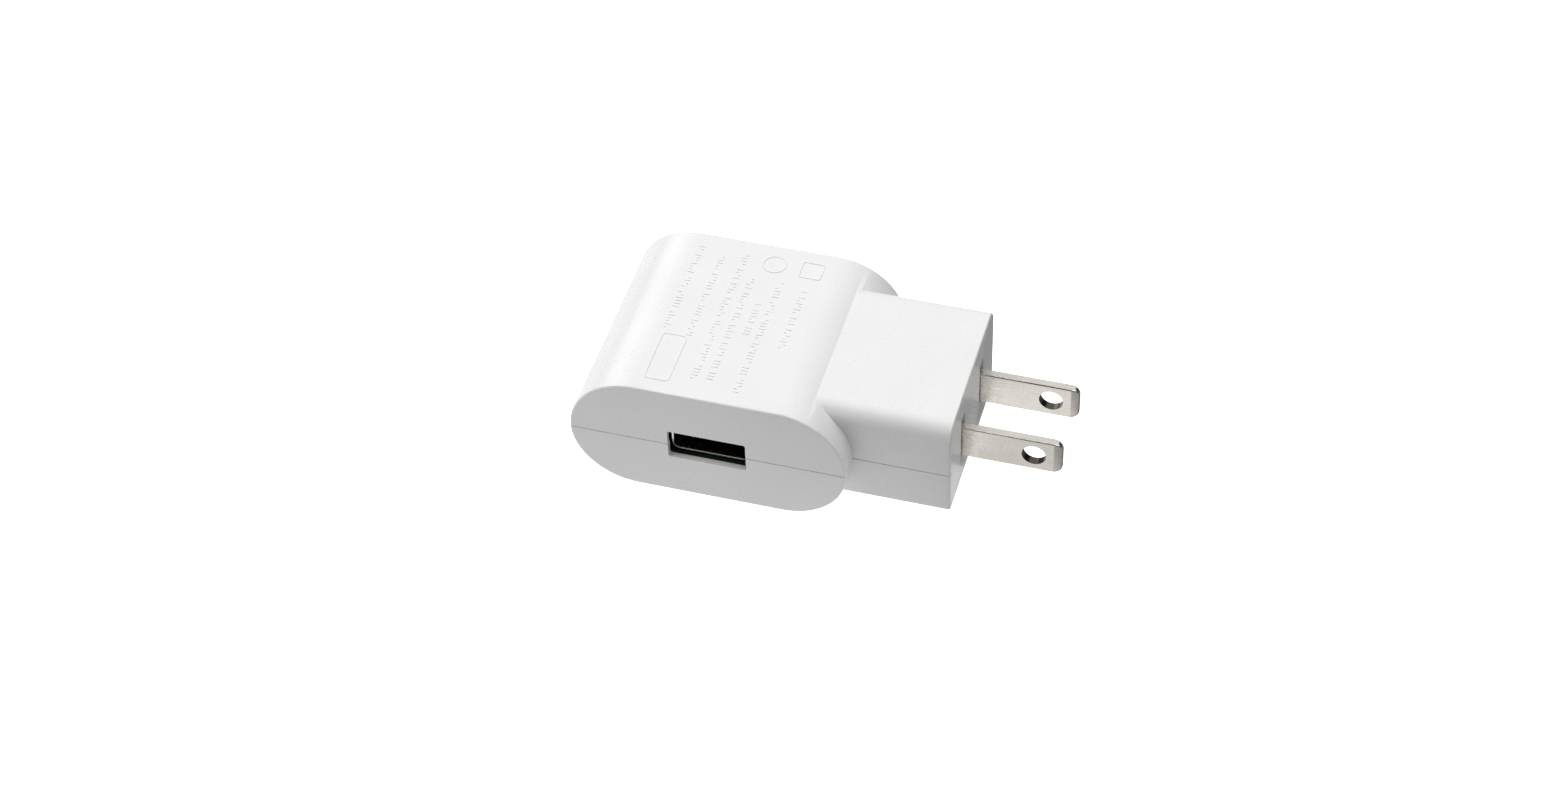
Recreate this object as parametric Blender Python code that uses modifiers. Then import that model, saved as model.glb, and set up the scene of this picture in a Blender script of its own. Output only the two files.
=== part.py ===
"""A single-port USB wall charger with a fixed two-blade plug.

The origin is under the middle of the whole object. +X points along the plug
blades, +Y away from the port face and +Z up. All lengths are in metres.
"""

import math

import bmesh
import bpy
from mathutils import Matrix, Vector

MM = 0.001

# Driving dimensions: the body, the snout that carries the plug, the blades and the port.
BODY_WIDTH = 46.8 * MM
BODY_DEPTH = 38.6 * MM
BODY_HEIGHT = 22.6 * MM
SEAM_HEIGHT = 11.1 * MM
SNOUT_LENGTH = 16.2 * MM
SNOUT_WIDTH = 29.8 * MM
SNOUT_BOTTOM = 2.7 * MM
SNOUT_TOP = 21.4 * MM
SNOUT_TOP_RADIUS = 2.6 * MM
SNOUT_BOTTOM_RADIUS = 0.6 * MM
BLADE_LENGTH = 16.6 * MM
BLADE_HEIGHT = 6.35 * MM
BLADE_THICKNESS = 1.5 * MM
BLADE_SPACING = 12.7 * MM
BLADE_HOLE_RADIUS = 1.985 * MM
BLADE_HOLE_DISTANCE = 11.9 * MM
PORT_WIDTH = 13.2 * MM
PORT_HEIGHT = 5.7 * MM
PORT_RADIUS = 0.4 * MM

# Wall thicknesses and clearances.
WALL = 1.8 * MM
PORT_WALL = 1.5 * MM
RIM = 0.7 * MM
GAP = 0.3 * MM
LIP_INSET = 1.1 * MM
LIP_HEIGHT = 1.2 * MM
OVERCUT = 1.0 * MM
WELD = 0.001 * MM

# Posts under the circuit board and ribs over it, placed from the middle of the body.
POST_WIDTH = 2.0 * MM
POST_PLACE = (17.9 * MM, 13.0 * MM)
POST_BOTTOM = 2.4 * MM
RIB_WIDTH = 1.2 * MM
RIB_DEPTH = 3.0 * MM
RIB_PLACE = (17.3 * MM, 13.6 * MM)
RIB_TOP = 19.6 * MM

# Places worked out from the driving dimensions.
OVERALL_LENGTH = BODY_WIDTH + SNOUT_LENGTH + BLADE_LENGTH
BODY_X = (BODY_WIDTH - OVERALL_LENGTH) / 2
BODY_SIDE_X = BODY_X + BODY_WIDTH / 2
PLUG_FACE_X = OVERALL_LENGTH / 2 - BLADE_LENGTH
FRONT_Y = -BODY_DEPTH / 2
BACK_Y = BODY_DEPTH / 2
BLADE_Z = BODY_HEIGHT / 2

# Plug plate and blades.
PLATE_THICKNESS = 2.2 * MM
BOSS_DEPTH = 3.0 * MM
BOSS_WIDTH = 4.4 * MM
BOSS_HEIGHT = 9.6 * MM
SLOT_WIDTH = 2.5 * MM
SLOT_HEIGHT = 10.5 * MM
SLOT_DEPTH = 1.0 * MM
BLADE_TIP_RADIUS = 1.3 * MM
BLADE_CHAMFER_LENGTH = 1.4 * MM
BLADE_CHAMFER_DEPTH = 0.35 * MM
TAIL_LENGTH = 7.0 * MM
TAIL_HEIGHT = 4.0 * MM
SHOULDER_LENGTH = 3.5 * MM
LEAD_WIRE_RADIUS = 0.7 * MM
LEAD_WIRE_PAD = (17.9 * MM, 8.6 * MM)

# Circuit board.
BOARD_TOP = 7.9 * MM
BOARD_THICKNESS = 1.6 * MM
BOARD_BOTTOM = BOARD_TOP - BOARD_THICKNESS
BOARD_HALF_WIDTH = 19.3 * MM
BOARD_FRONT_Y = FRONT_Y + PORT_WALL + GAP
BOARD_BACK_Y = 16.2 * MM
BOARD_RADIUS = 1.0 * MM
LEAD_RADIUS = 0.3 * MM
LEAD_END = BOARD_BOTTOM - 0.7 * MM
ON_BOARD = BOARD_TOP + GAP
UNDER_BOARD = BOARD_BOTTOM - GAP

# USB receptacle.
SHELL_WIDTH = 13.1 * MM
SHELL_HEIGHT = 5.7 * MM
SHELL_LENGTH = 14.0 * MM
SHELL_WALL = 0.3 * MM
SHELL_RADIUS = 1.1 * MM
SHELL_FRONT_Y = FRONT_Y + 2.8 * MM
SHELL_BACK_Y = SHELL_FRONT_Y + SHELL_LENGTH
SHELL_LEG_WIDTH = 1.6 * MM
SHELL_LEG_OFFSETS = (4.0 * MM, 10.0 * MM)
TONGUE_WIDTH = 10.9 * MM
TONGUE_THICKNESS = 1.84 * MM
TONGUE_TOP_GAP = 0.72 * MM
TONGUE_BOTTOM = SEAM_HEIGHT + SHELL_HEIGHT / 2 - SHELL_WALL - TONGUE_TOP_GAP - TONGUE_THICKNESS
TONGUE_SETBACK = 0.6 * MM
INSULATOR_DEPTH = 3.5 * MM
CONTACT_OFFSETS = (-3.5 * MM, -1.0 * MM, 1.0 * MM, 3.5 * MM)
CONTACT_WIDTH = 0.8 * MM
CONTACT_THICKNESS = 0.25 * MM
CONTACT_SETBACK = 1.6 * MM
CONTACT_LEG_Y = SHELL_BACK_Y + 0.6 * MM

# Transformer: an EE core round a bobbin that lies along Y.
CORE_X = BODY_X - 0.2 * MM
CORE_Y = 7.9 * MM
CORE_Z = 14.0 * MM
CORE_WIDTH = 14.2 * MM
CORE_HALF_DEPTH = 7.0 * MM
CORE_HEIGHT = 4.8 * MM
CORE_BACK = 2.0 * MM
CORE_SIDE_LEG = 1.9 * MM
CORE_CENTRE_LEG = 4.0 * MM
BOBBIN_WALL = 0.8 * MM
BOBBIN_FLANGE_WIDTH = 9.6 * MM
BOBBIN_FLANGE_HEIGHT = 11.4 * MM
RAIL_WIDTH = 13.0 * MM
RAIL_DEPTH = 3.4 * MM
RAIL_HEIGHT = 2.9 * MM
PIN_PITCH = 3.6 * MM
PIN_DEPTH = 1.7 * MM
TAPE_WIDTH = 3.6 * MM
WINDING_RADIUS = 1.6 * MM

# Electrolytic capacitors: x and y from the middle of the body, radius, height and lead pitch.
CAPACITORS = {
    "input_capacitor_1": (11.5 * MM, -9.8 * MM, 4.0 * MM, 11.4 * MM, 3.5 * MM),
    "input_capacitor_2": (12.0 * MM, 10.4 * MM, 4.0 * MM, 11.2 * MM, 3.5 * MM),
    "output_capacitor_1": (-12.2 * MM, -10.0 * MM, 4.0 * MM, 11.4 * MM, 3.5 * MM),
    "output_capacitor_2": (-12.4 * MM, -1.8 * MM, 3.15 * MM, 10.6 * MM, 2.5 * MM),
}

# Components that lie along Y: the fusible resistor in its sleeve and the output diode.
RESISTOR_X = 17.3 * MM
RESISTOR_RADIUS = 1.6 * MM
RESISTOR_LENGTH = 8.4 * MM
RESISTOR_PITCH = 13.0 * MM
RESISTOR_Z = ON_BOARD + 2.5 * MM
SLEEVE_LENGTH = 10.0 * MM
DIODE_X = -12.4 * MM
DIODE_Y = 6.6 * MM
DIODE_RADIUS = 2.3 * MM
DIODE_LENGTH = 6.6 * MM
DIODE_PITCH = 9.0 * MM
DIODE_Z = ON_BOARD + 2.6 * MM

# Faceting of round shapes, in steps for a quarter turn or sides for a whole one.
BODY_STEPS = 12
CORNER_STEPS = 4
CAN_SIDES = 20
LEAD_SIDES = 8

AXIS_FRAMES = {
    "X": Matrix(((0, 0, 1), (1, 0, 0), (0, 1, 0))),
    "Y": Matrix(((1, 0, 0), (0, 0, -1), (0, 1, 0))),
    "Z": Matrix.Identity(3),
}


# ---------------------------------------------------------------- scene and materials


def clear_scene():
    for old in list(bpy.data.objects):
        bpy.data.objects.remove(old, do_unlink=True)


def new_collection(name):
    collection = bpy.data.collections.new(name)
    bpy.context.scene.collection.children.link(collection)
    return collection


clear_scene()
PARTS = new_collection("usb_wall_charger")
CUTTERS = new_collection("cutters")
ASSEMBLY = bpy.data.objects.new("assembly", None)
PARTS.objects.link(ASSEMBLY)


def make_material(name, colour, roughness, metallic=0.0):
    material = bpy.data.materials.new(name)
    material.use_nodes = True
    shader = material.node_tree.nodes["Principled BSDF"]
    shader.inputs["Base Color"].default_value = (*colour, 1.0)
    shader.inputs["Roughness"].default_value = roughness
    shader.inputs["Metallic"].default_value = metallic
    return material


WHITE_PLASTIC = make_material("white_plastic", (0.86, 0.86, 0.85), 0.35)
NICKEL = make_material("nickel", (0.72, 0.70, 0.66), 0.25, 1.0)
STEEL = make_material("shell_steel", (0.65, 0.65, 0.66), 0.30, 1.0)
GOLD = make_material("contact_gold", (0.83, 0.65, 0.33), 0.25, 1.0)
BLACK_PLASTIC = make_material("black_plastic", (0.02, 0.02, 0.02), 0.50)
BOARD_GREEN = make_material("board_green", (0.012, 0.055, 0.025), 0.45)
FERRITE = make_material("ferrite", (0.06, 0.06, 0.065), 0.60)
TAPE_YELLOW = make_material("tape_yellow", (0.85, 0.62, 0.08), 0.35)
COPPER = make_material("copper_wire", (0.72, 0.35, 0.18), 0.30, 1.0)
CAPACITOR_SLEEVE = make_material("capacitor_sleeve", (0.03, 0.04, 0.09), 0.35)
RESISTOR_BODY = make_material("resistor_body", (0.20, 0.36, 0.42), 0.45)
SHRINK_SLEEVE = make_material("shrink_sleeve", (0.04, 0.04, 0.04), 0.45)
DISC_BLUE = make_material("disc_blue", (0.05, 0.17, 0.50), 0.40)
CHIP_BLACK = make_material("chip_black", (0.03, 0.03, 0.03), 0.55)
CHIP_TAN = make_material("chip_tan", (0.52, 0.38, 0.24), 0.50)
TINNED_WIRE = make_material("tinned_wire", (0.70, 0.70, 0.70), 0.30, 1.0)
RED_WIRE = make_material("red_insulation", (0.55, 0.04, 0.03), 0.40)


# ---------------------------------------------------------------- shape helpers


def add_object(name, mesh):
    """An object of the assembly that holds this mesh."""
    shape = bpy.data.objects.new(name, mesh)
    PARTS.objects.link(shape)
    shape.parent = ASSEMBLY
    return shape


def mesh_from(shape, name):
    mesh = bpy.data.meshes.new(name)
    shape.to_mesh(mesh)
    shape.free()
    return mesh


def block(name, low, high):
    """A box between two opposite corners."""
    low, high = Vector(low), Vector(high)
    shape = bmesh.new()
    bmesh.ops.create_cube(shape, size=1.0)
    bmesh.ops.scale(shape, vec=high - low, verts=shape.verts)
    box = add_object(name, mesh_from(shape, name))
    box.location = (low + high) / 2
    return box


def rod(name, radius, start, end, sides=LEAD_SIDES):
    """A cylinder from one point to another."""
    start, end = Vector(start), Vector(end)
    run = end - start
    shape = bmesh.new()
    bmesh.ops.create_cone(
        shape,
        cap_ends=True,
        segments=sides,
        radius1=radius,
        radius2=radius,
        depth=run.length,
    )
    cylinder = add_object(name, mesh_from(shape, name))
    cylinder.location = (start + end) / 2
    cylinder.rotation_euler = run.to_track_quat("Z", "Y").to_euler()
    return cylinder


def mesh_of_curve(curve_object):
    """The curve's solid as a closed mesh object in the same place. The curve is removed."""
    bpy.context.view_layer.update()
    graph = bpy.context.evaluated_depsgraph_get()
    name = curve_object.name
    mesh = bpy.data.meshes.new_from_object(curve_object.evaluated_get(graph))
    place = curve_object.matrix_world.copy()
    bpy.data.objects.remove(curve_object)
    shape = bmesh.new()
    shape.from_mesh(mesh)
    bmesh.ops.remove_doubles(shape, verts=shape.verts, dist=WELD)
    bmesh.ops.recalc_face_normals(shape, faces=shape.faces)
    shape.to_mesh(mesh)
    shape.free()
    solid = add_object(name, mesh)
    solid.matrix_world = place
    return solid


def add_spline(curve, points, closed):
    spline = curve.splines.new("POLY")
    spline.points.add(len(points) - 1)
    for spot, point in zip(spline.points, points):
        place = (*point, 0.0) if len(point) == 2 else point
        spot.co = (*place, 1.0)
    spline.use_cyclic_u = closed


def prism(name, outlines, start, end, facing):
    """A solid with flat outlines, running along an axis. Further outlines are holes.

    Outline points are (y, z) facing X, (x, z) facing Y and (x, y) facing Z.
    """
    curve = bpy.data.curves.new(name, "CURVE")
    curve.dimensions = "2D"
    curve.fill_mode = "BOTH"
    curve.extrude = (end - start) / 2
    for outline in outlines:
        add_spline(curve, outline, closed=True)
    shape = add_object(name, curve)
    shape.matrix_world = AXIS_FRAMES[facing].to_4x4()
    shape.location["XYZ".index(facing)] = (start + end) / 2
    return mesh_of_curve(shape)


def wire(name, points, radius):
    """A round wire along the points, with closed ends."""
    curve = bpy.data.curves.new(name, "CURVE")
    curve.dimensions = "3D"
    curve.bevel_depth = radius
    curve.bevel_resolution = 2
    curve.use_fill_caps = True
    add_spline(curve, points, closed=False)
    return mesh_of_curve(add_object(name, curve))


def turned(name, profile, place):
    """A profile of (radius, height) points, from the top down, turned about a vertical axis."""
    shape = bmesh.new()
    corners = [shape.verts.new((radius, 0.0, height)) for radius, height in profile]
    for upper, lower in zip(corners, corners[1:]):
        shape.edges.new((upper, lower))
    round_piece = add_object(name, mesh_from(shape, name))
    round_piece.location = place
    screw = round_piece.modifiers.new("turn", "SCREW")
    screw.steps = CAN_SIDES
    screw.render_steps = CAN_SIDES
    screw.use_merge_vertices = True
    screw.merge_threshold = WELD
    return round_piece


def combine(target, tools, operation):
    for tool in tools:
        modifier = target.modifiers.new(f"{operation.lower()} {tool.name}", "BOOLEAN")
        modifier.operation = operation
        modifier.solver = "EXACT"
        modifier.object = tool
        if tool.name in PARTS.objects:
            PARTS.objects.unlink(tool)
            CUTTERS.objects.link(tool)
        tool.hide_render = True
        tool.display_type = "WIRE"
    return target


def cut(target, *tools):
    return combine(target, tools, "DIFFERENCE")


def join(target, *tools):
    return combine(target, tools, "UNION")


def finish(part, material, smooth=False):
    part.data.materials.clear()
    part.data.materials.append(material)
    if smooth:
        part.data.shade_smooth()
    return part


# ---------------------------------------------------------------- outlines


def arc(centre, radius, first_angle, steps):
    """Points over a quarter turn, counter-clockwise from first_angle in degrees."""
    points = []
    for step in range(steps + 1):
        angle = math.radians(first_angle + 90 * step / steps)
        points.append((centre[0] + radius * math.cos(angle), centre[1] + radius * math.sin(angle)))
    return points


def without_repeats(points):
    kept = []
    for point in points:
        if not kept or math.dist(point, kept[-1]) > WELD:
            kept.append(point)
    return kept


def body_outline(inset=0.0):
    """The body seen from the port: flat top and bottom, and ends widest at the parting line."""
    upper_radius = BODY_HEIGHT - SEAM_HEIGHT
    lower_radius = SEAM_HEIGHT
    points = []
    for side, radius, first_angle in (
        (1, upper_radius, 0),
        (-1, upper_radius, 90),
        (-1, lower_radius, 180),
        (1, lower_radius, 270),
    ):
        centre = (BODY_X + side * (BODY_WIDTH / 2 - radius), SEAM_HEIGHT)
        points += arc(centre, radius - inset, first_angle, BODY_STEPS)
    return without_repeats(points)[:-1]


def rounded_rectangle(low, high, bottom_radius, top_radius):
    """A rectangle between two corners, with rounded corners at the bottom and at the top."""
    points = []
    for across, up, first_angle in ((1, 1, 0), (0, 1, 90), (0, 0, 180), (1, 0, 270)):
        radius = max(top_radius if up else bottom_radius, WELD)
        steps = CORNER_STEPS if radius > GAP else 1
        corner = (high[0] if across else low[0], high[1] if up else low[1])
        centre = (
            corner[0] - radius if across else corner[0] + radius,
            corner[1] - radius if up else corner[1] + radius,
        )
        points += arc(centre, radius, first_angle, steps)
    return without_repeats(points)


def snout_outline(inset=0.0):
    """The snout seen from the plug: well rounded along the top, crisp along the bottom."""
    return rounded_rectangle(
        (-SNOUT_WIDTH / 2 + inset, SNOUT_BOTTOM + inset),
        (SNOUT_WIDTH / 2 - inset, SNOUT_TOP - inset),
        SNOUT_BOTTOM_RADIUS - inset,
        SNOUT_TOP_RADIUS - inset,
    )


def plan_outline(inset):
    """The body and the snout seen from above, open past the plug face."""
    left = BODY_X - BODY_WIDTH / 2 + inset
    right = BODY_SIDE_X - inset
    open_end = PLUG_FACE_X + OVERCUT
    body_y = BODY_DEPTH / 2 - inset
    snout_y = SNOUT_WIDTH / 2 - inset
    near_half = [(left, -body_y), (right, -body_y), (right, -snout_y), (open_end, -snout_y)]
    return near_half + [(x, -y) for x, y in reversed(near_half)]


def centred_rectangle(centre, width, height, radius=0.0):
    low = (centre[0] - width / 2, centre[1] - height / 2)
    high = (centre[0] + width / 2, centre[1] + height / 2)
    return rounded_rectangle(low, high, radius, radius)


def circle(centre, radius, sides=CAN_SIDES):
    turn = 2 * math.pi / sides
    return [
        (centre[0] + radius * math.cos(turn * i), centre[1] + radius * math.sin(turn * i))
        for i in range(sides)
    ]


# ---------------------------------------------------------------- housings


def housing_blank(name):
    """The outside shape that the two housings share."""
    body = prism(name, [body_outline()], FRONT_Y, BACK_Y, "Y")
    snout = prism(f"{name}_snout", [snout_outline()], BODY_X, PLUG_FACE_X, "X")
    return join(body, snout)


def housing_hollows():
    """Cutters for the inside, the seat of the plug plate and the port opening."""
    port = centred_rectangle((BODY_X, SEAM_HEIGHT), PORT_WIDTH, PORT_HEIGHT, PORT_RADIUS)
    seat_x = PLUG_FACE_X - PLATE_THICKNESS - GAP
    open_end = PLUG_FACE_X + OVERCUT
    return (
        prism("body_hollow", [body_outline(WALL)], FRONT_Y + PORT_WALL, BACK_Y - WALL, "Y"),
        prism("snout_hollow", [snout_outline(WALL)], BODY_X, open_end, "X"),
        prism("plate_seat", [snout_outline(RIM)], seat_x, open_end, "X"),
        prism("port_opening", [port], FRONT_Y - OVERCUT, FRONT_Y + WALL + OVERCUT, "Y"),
    )


def board_posts():
    """Four posts that the circuit board rests on."""
    half = POST_WIDTH / 2
    posts = []
    for side in (-1, 1):
        for end in (-1, 1):
            x = BODY_X + side * POST_PLACE[0]
            y = end * POST_PLACE[1]
            low = (x - half, y - half, POST_BOTTOM)
            high = (x + half, y + half, BOARD_BOTTOM - GAP)
            posts.append(block(f"board_post_{side}_{end}", low, high))
    return posts


def hold_down_ribs():
    """Four ribs under the top that keep the circuit board down."""
    ribs = []
    for side in (-1, 1):
        for end in (-1, 1):
            x = BODY_X + side * RIB_PLACE[0]
            y = end * RIB_PLACE[1]
            low = (x - RIB_WIDTH / 2, y - RIB_DEPTH / 2, ON_BOARD)
            high = (x + RIB_WIDTH / 2, y + RIB_DEPTH / 2, RIB_TOP)
            ribs.append(block(f"hold_down_rib_{side}_{end}", low, high))
    return ribs


def build_housings():
    lip_top = SEAM_HEIGHT + LIP_HEIGHT
    reach = OVERALL_LENGTH
    hollows = housing_hollows()

    lower = housing_blank("lower_housing")
    cut(lower, *hollows)
    above_lip = block("above_lip", (-reach, -reach, lip_top), (reach, reach, reach))
    far_out = centred_rectangle((0.0, 0.0), 2 * reach, 2 * reach)
    outside_lip = prism(
        "outside_lip",
        [far_out, plan_outline(LIP_INSET)],
        SEAM_HEIGHT - GAP / 2,
        lip_top + OVERCUT,
        "Z",
    )
    cut(lower, above_lip, outside_lip)
    join(lower, *board_posts())
    finish(lower, WHITE_PLASTIC, smooth=True)

    upper = housing_blank("upper_housing")
    cut(upper, *hollows)
    below_seam = block("below_seam", (-reach, -reach, -reach), (reach, reach, SEAM_HEIGHT + GAP / 2))
    lip_rebate = prism(
        "lip_rebate",
        [plan_outline(LIP_INSET - GAP)],
        SEAM_HEIGHT - OVERCUT,
        lip_top + GAP,
        "Z",
    )
    cut(upper, below_seam, lip_rebate)
    join(upper, *hold_down_ribs())
    finish(upper, WHITE_PLASTIC, smooth=True)


# ---------------------------------------------------------------- plug


def blade_slot(name, y, width, height, start_x, end_x):
    """A cutter round a blade: a straight-sided slot along X."""
    return block(
        name,
        (start_x, y - width / 2, BLADE_Z - height / 2),
        (end_x, y + width / 2, BLADE_Z + height / 2),
    )


def build_plug_plate():
    inner_x = PLUG_FACE_X - PLATE_THICKNESS
    boss_x = inner_x - BOSS_DEPTH
    out = PLUG_FACE_X + OVERCUT
    plate = prism("plug_end_plate", [snout_outline(RIM + GAP)], inner_x, PLUG_FACE_X, "X")
    for side in (-1, 1):
        y = side * BLADE_SPACING / 2
        boss = blade_slot(f"boss_{side}", y, BOSS_WIDTH, BOSS_HEIGHT, boss_x, inner_x + GAP)
        recess = blade_slot(
            f"recess_{side}", y, SLOT_WIDTH, SLOT_HEIGHT, PLUG_FACE_X - SLOT_DEPTH, out
        )
        passage = blade_slot(
            f"passage_{side}",
            y,
            BLADE_THICKNESS + 2 * GAP,
            BLADE_HEIGHT + 2 * GAP,
            boss_x - OVERCUT,
            out,
        )
        join(plate, boss)
        cut(plate, recess, passage)
    finish(plate, WHITE_PLASTIC)


def blade_outline():
    """A blade seen from the side: a narrow tail, a shoulder and a tip with rounded corners."""
    tail_x = PLUG_FACE_X - TAIL_LENGTH
    shoulder_x = PLUG_FACE_X - SHOULDER_LENGTH
    tip_x = PLUG_FACE_X + BLADE_LENGTH
    top = BLADE_HEIGHT / 2
    tip_centre_x = tip_x - BLADE_TIP_RADIUS
    tip_centre_z = top - BLADE_TIP_RADIUS
    upper = arc((tip_centre_x, tip_centre_z), BLADE_TIP_RADIUS, 0, CORNER_STEPS)
    upper += [(shoulder_x, top), (shoulder_x, TAIL_HEIGHT / 2), (tail_x, TAIL_HEIGHT / 2)]
    lower = [(x, -z) for x, z in reversed(upper)]
    return [(x, BLADE_Z + z) for x, z in upper + lower]


def build_blade(name, y):
    half = BLADE_THICKNESS / 2
    tip_x = PLUG_FACE_X + BLADE_LENGTH
    chamfer_x = tip_x - BLADE_CHAMFER_LENGTH
    blade = prism(name, [blade_outline()], y - half, y + half, "Y")
    hole_x = PLUG_FACE_X + BLADE_HOLE_DISTANCE
    reach = half + OVERCUT
    hole = rod(
        f"{name}_hole",
        BLADE_HOLE_RADIUS,
        (hole_x, y - reach, BLADE_Z),
        (hole_x, y + reach, BLADE_Z),
        CAN_SIDES,
    )
    cut(blade, hole)
    slope = BLADE_CHAMFER_DEPTH / BLADE_CHAMFER_LENGTH
    for side in (-1, 1):
        at_tip = half - slope * (BLADE_CHAMFER_LENGTH + OVERCUT)
        wedge = [
            (chamfer_x, y + side * half),
            (tip_x + OVERCUT, y + side * at_tip),
            (tip_x + OVERCUT, y + side * reach),
            (chamfer_x, y + side * reach),
        ]
        low_z = BLADE_Z - BLADE_HEIGHT
        high_z = BLADE_Z + BLADE_HEIGHT
        cut(blade, prism(f"{name}_chamfer_{side}", [wedge], low_z, high_z, "Z"))
    finish(blade, NICKEL)


def smooth_route(start, start_pull, end_pull, end, steps):
    """Points on a curve that leaves start towards start_pull and reaches end from end_pull."""
    anchors = [Vector(point) for point in (start, start_pull, end_pull, end)]
    points = []
    for step in range(steps + 1):
        t = step / steps
        weights = ((1 - t) ** 3, 3 * t * (1 - t) ** 2, 3 * t * t * (1 - t), t**3)
        points.append(sum((w * a for w, a in zip(weights, anchors)), Vector()))
    return points


def build_blade_lead(name, side):
    """An insulated wire from a blade's tail to its pad on the circuit board."""
    blade_y = side * BLADE_SPACING / 2
    pad = (BODY_X + LEAD_WIRE_PAD[0], side * LEAD_WIRE_PAD[1])
    start = (PLUG_FACE_X - TAIL_LENGTH - GAP, blade_y, BLADE_Z)
    route = smooth_route(
        start,
        (start[0] - 7 * MM, blade_y, BLADE_Z + 0.5 * MM),
        (*pad, 15 * MM),
        (*pad, 9 * MM),
        12,
    )
    route.append(Vector((*pad, LEAD_END)))
    finish(wire(name, route, LEAD_WIRE_RADIUS), RED_WIRE, smooth=True)
    return [(*pad, LEAD_WIRE_RADIUS)]


# ---------------------------------------------------------------- USB receptacle


def shell_legs():
    """Two legs down each side of the shell, as (centre x, centre y)."""
    offset = (SHELL_WIDTH - SHELL_WALL) / 2
    return [
        (BODY_X + side * offset, SHELL_FRONT_Y + along)
        for side in (-1, 1)
        for along in SHELL_LEG_OFFSETS
    ]


def build_usb_shell():
    centre = (BODY_X, SEAM_HEIGHT)
    outer = centred_rectangle(centre, SHELL_WIDTH, SHELL_HEIGHT, SHELL_RADIUS)
    inner = centred_rectangle(
        centre,
        SHELL_WIDTH - 2 * SHELL_WALL,
        SHELL_HEIGHT - 2 * SHELL_WALL,
        SHELL_RADIUS - SHELL_WALL,
    )
    shell = prism("usb_shell", [outer, inner], SHELL_FRONT_Y, SHELL_BACK_Y, "Y")
    half = SHELL_WALL / 2
    for number, (x, y) in enumerate(shell_legs()):
        low = (x - half, y - SHELL_LEG_WIDTH / 2, LEAD_END)
        high = (x + half, y + SHELL_LEG_WIDTH / 2, SEAM_HEIGHT)
        join(shell, block(f"shell_leg_{number}", low, high))
    finish(shell, STEEL)


def build_usb_insulator():
    """The black block at the back of the shell, with the tongue that carries the contacts."""
    block_front = SHELL_BACK_Y - GAP - INSULATOR_DEPTH
    half_width = SHELL_WIDTH / 2 - SHELL_WALL - GAP
    half_height = SHELL_HEIGHT / 2 - SHELL_WALL - GAP
    insulator = block(
        "usb_insulator",
        (BODY_X - half_width, block_front, SEAM_HEIGHT - half_height),
        (BODY_X + half_width, SHELL_BACK_Y - GAP, SEAM_HEIGHT + half_height),
    )
    bevel = insulator.modifiers.new("rounded edges", "BEVEL")
    bevel.width = SHELL_RADIUS - SHELL_WALL - GAP
    bevel.segments = 1
    tongue = block(
        "usb_tongue",
        (BODY_X - TONGUE_WIDTH / 2, SHELL_FRONT_Y + TONGUE_SETBACK, TONGUE_BOTTOM),
        (BODY_X + TONGUE_WIDTH / 2, block_front + OVERCUT, TONGUE_BOTTOM + TONGUE_THICKNESS),
    )
    join(insulator, tongue)
    for number, offset in enumerate(CONTACT_OFFSETS, 1):
        half = CONTACT_WIDTH / 2 + GAP
        low = (BODY_X + offset - half, block_front - OVERCUT / 2, TONGUE_BOTTOM - 3 * GAP)
        high = (BODY_X + offset + half, SHELL_BACK_Y + OVERCUT, TONGUE_BOTTOM + GAP / 2)
        cut(insulator, block(f"contact_channel_{number}", low, high))
    finish(insulator, BLACK_PLASTIC)


def build_usb_contact(number, offset):
    """A bent strip: under the tongue, back through the insulator and down to the board."""
    top = TONGUE_BOTTOM - GAP
    bottom = top - CONTACT_THICKNESS
    front_y = SHELL_FRONT_Y + CONTACT_SETBACK
    leg_half = CONTACT_THICKNESS / 2
    side_view = [
        (front_y, bottom),
        (CONTACT_LEG_Y - leg_half, bottom),
        (CONTACT_LEG_Y - leg_half, LEAD_END),
        (CONTACT_LEG_Y + leg_half, LEAD_END),
        (CONTACT_LEG_Y + leg_half, top),
        (front_y, top),
    ]
    x = BODY_X + offset
    half = CONTACT_WIDTH / 2
    contact = prism(f"usb_contact_{number}", [side_view], x - half, x + half, "X")
    finish(contact, GOLD)


# ---------------------------------------------------------------- transformer


def build_core_half(name, end):
    """One E of the core, with its back at the front (-1) or at the rear (+1)."""
    half = CORE_WIDTH / 2
    depth = CORE_HALF_DEPTH
    window = depth - CORE_BACK
    leg = CORE_SIDE_LEG
    centre = CORE_CENTRE_LEG / 2
    near = GAP / 2
    right_half = [
        (centre, near),
        (centre, near + window),
        (half - leg, near + window),
        (half - leg, near),
        (half, near),
        (half, near + depth),
    ]
    outline = right_half + [(-x, y) for x, y in reversed(right_half)]
    placed = [(CORE_X + x, CORE_Y + end * y) for x, y in outline]
    low_z = CORE_Z - CORE_HEIGHT / 2
    finish(prism(name, [placed], low_z, low_z + CORE_HEIGHT, "Z"), FERRITE)


def pin_places():
    """The pins stand in two rows, four under each rail."""
    rail_y = rail_centre()
    offsets = [(i - 1.5) * PIN_PITCH for i in range(4)]
    return [(CORE_X + dx, CORE_Y + end * rail_y) for end in (-1, 1) for dx in offsets]


def rail_centre():
    return bobbin_half_length() + RAIL_DEPTH / 2 - BOBBIN_WALL


def bobbin_half_length():
    return CORE_HALF_DEPTH + GAP / 2 - CORE_BACK - GAP


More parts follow.
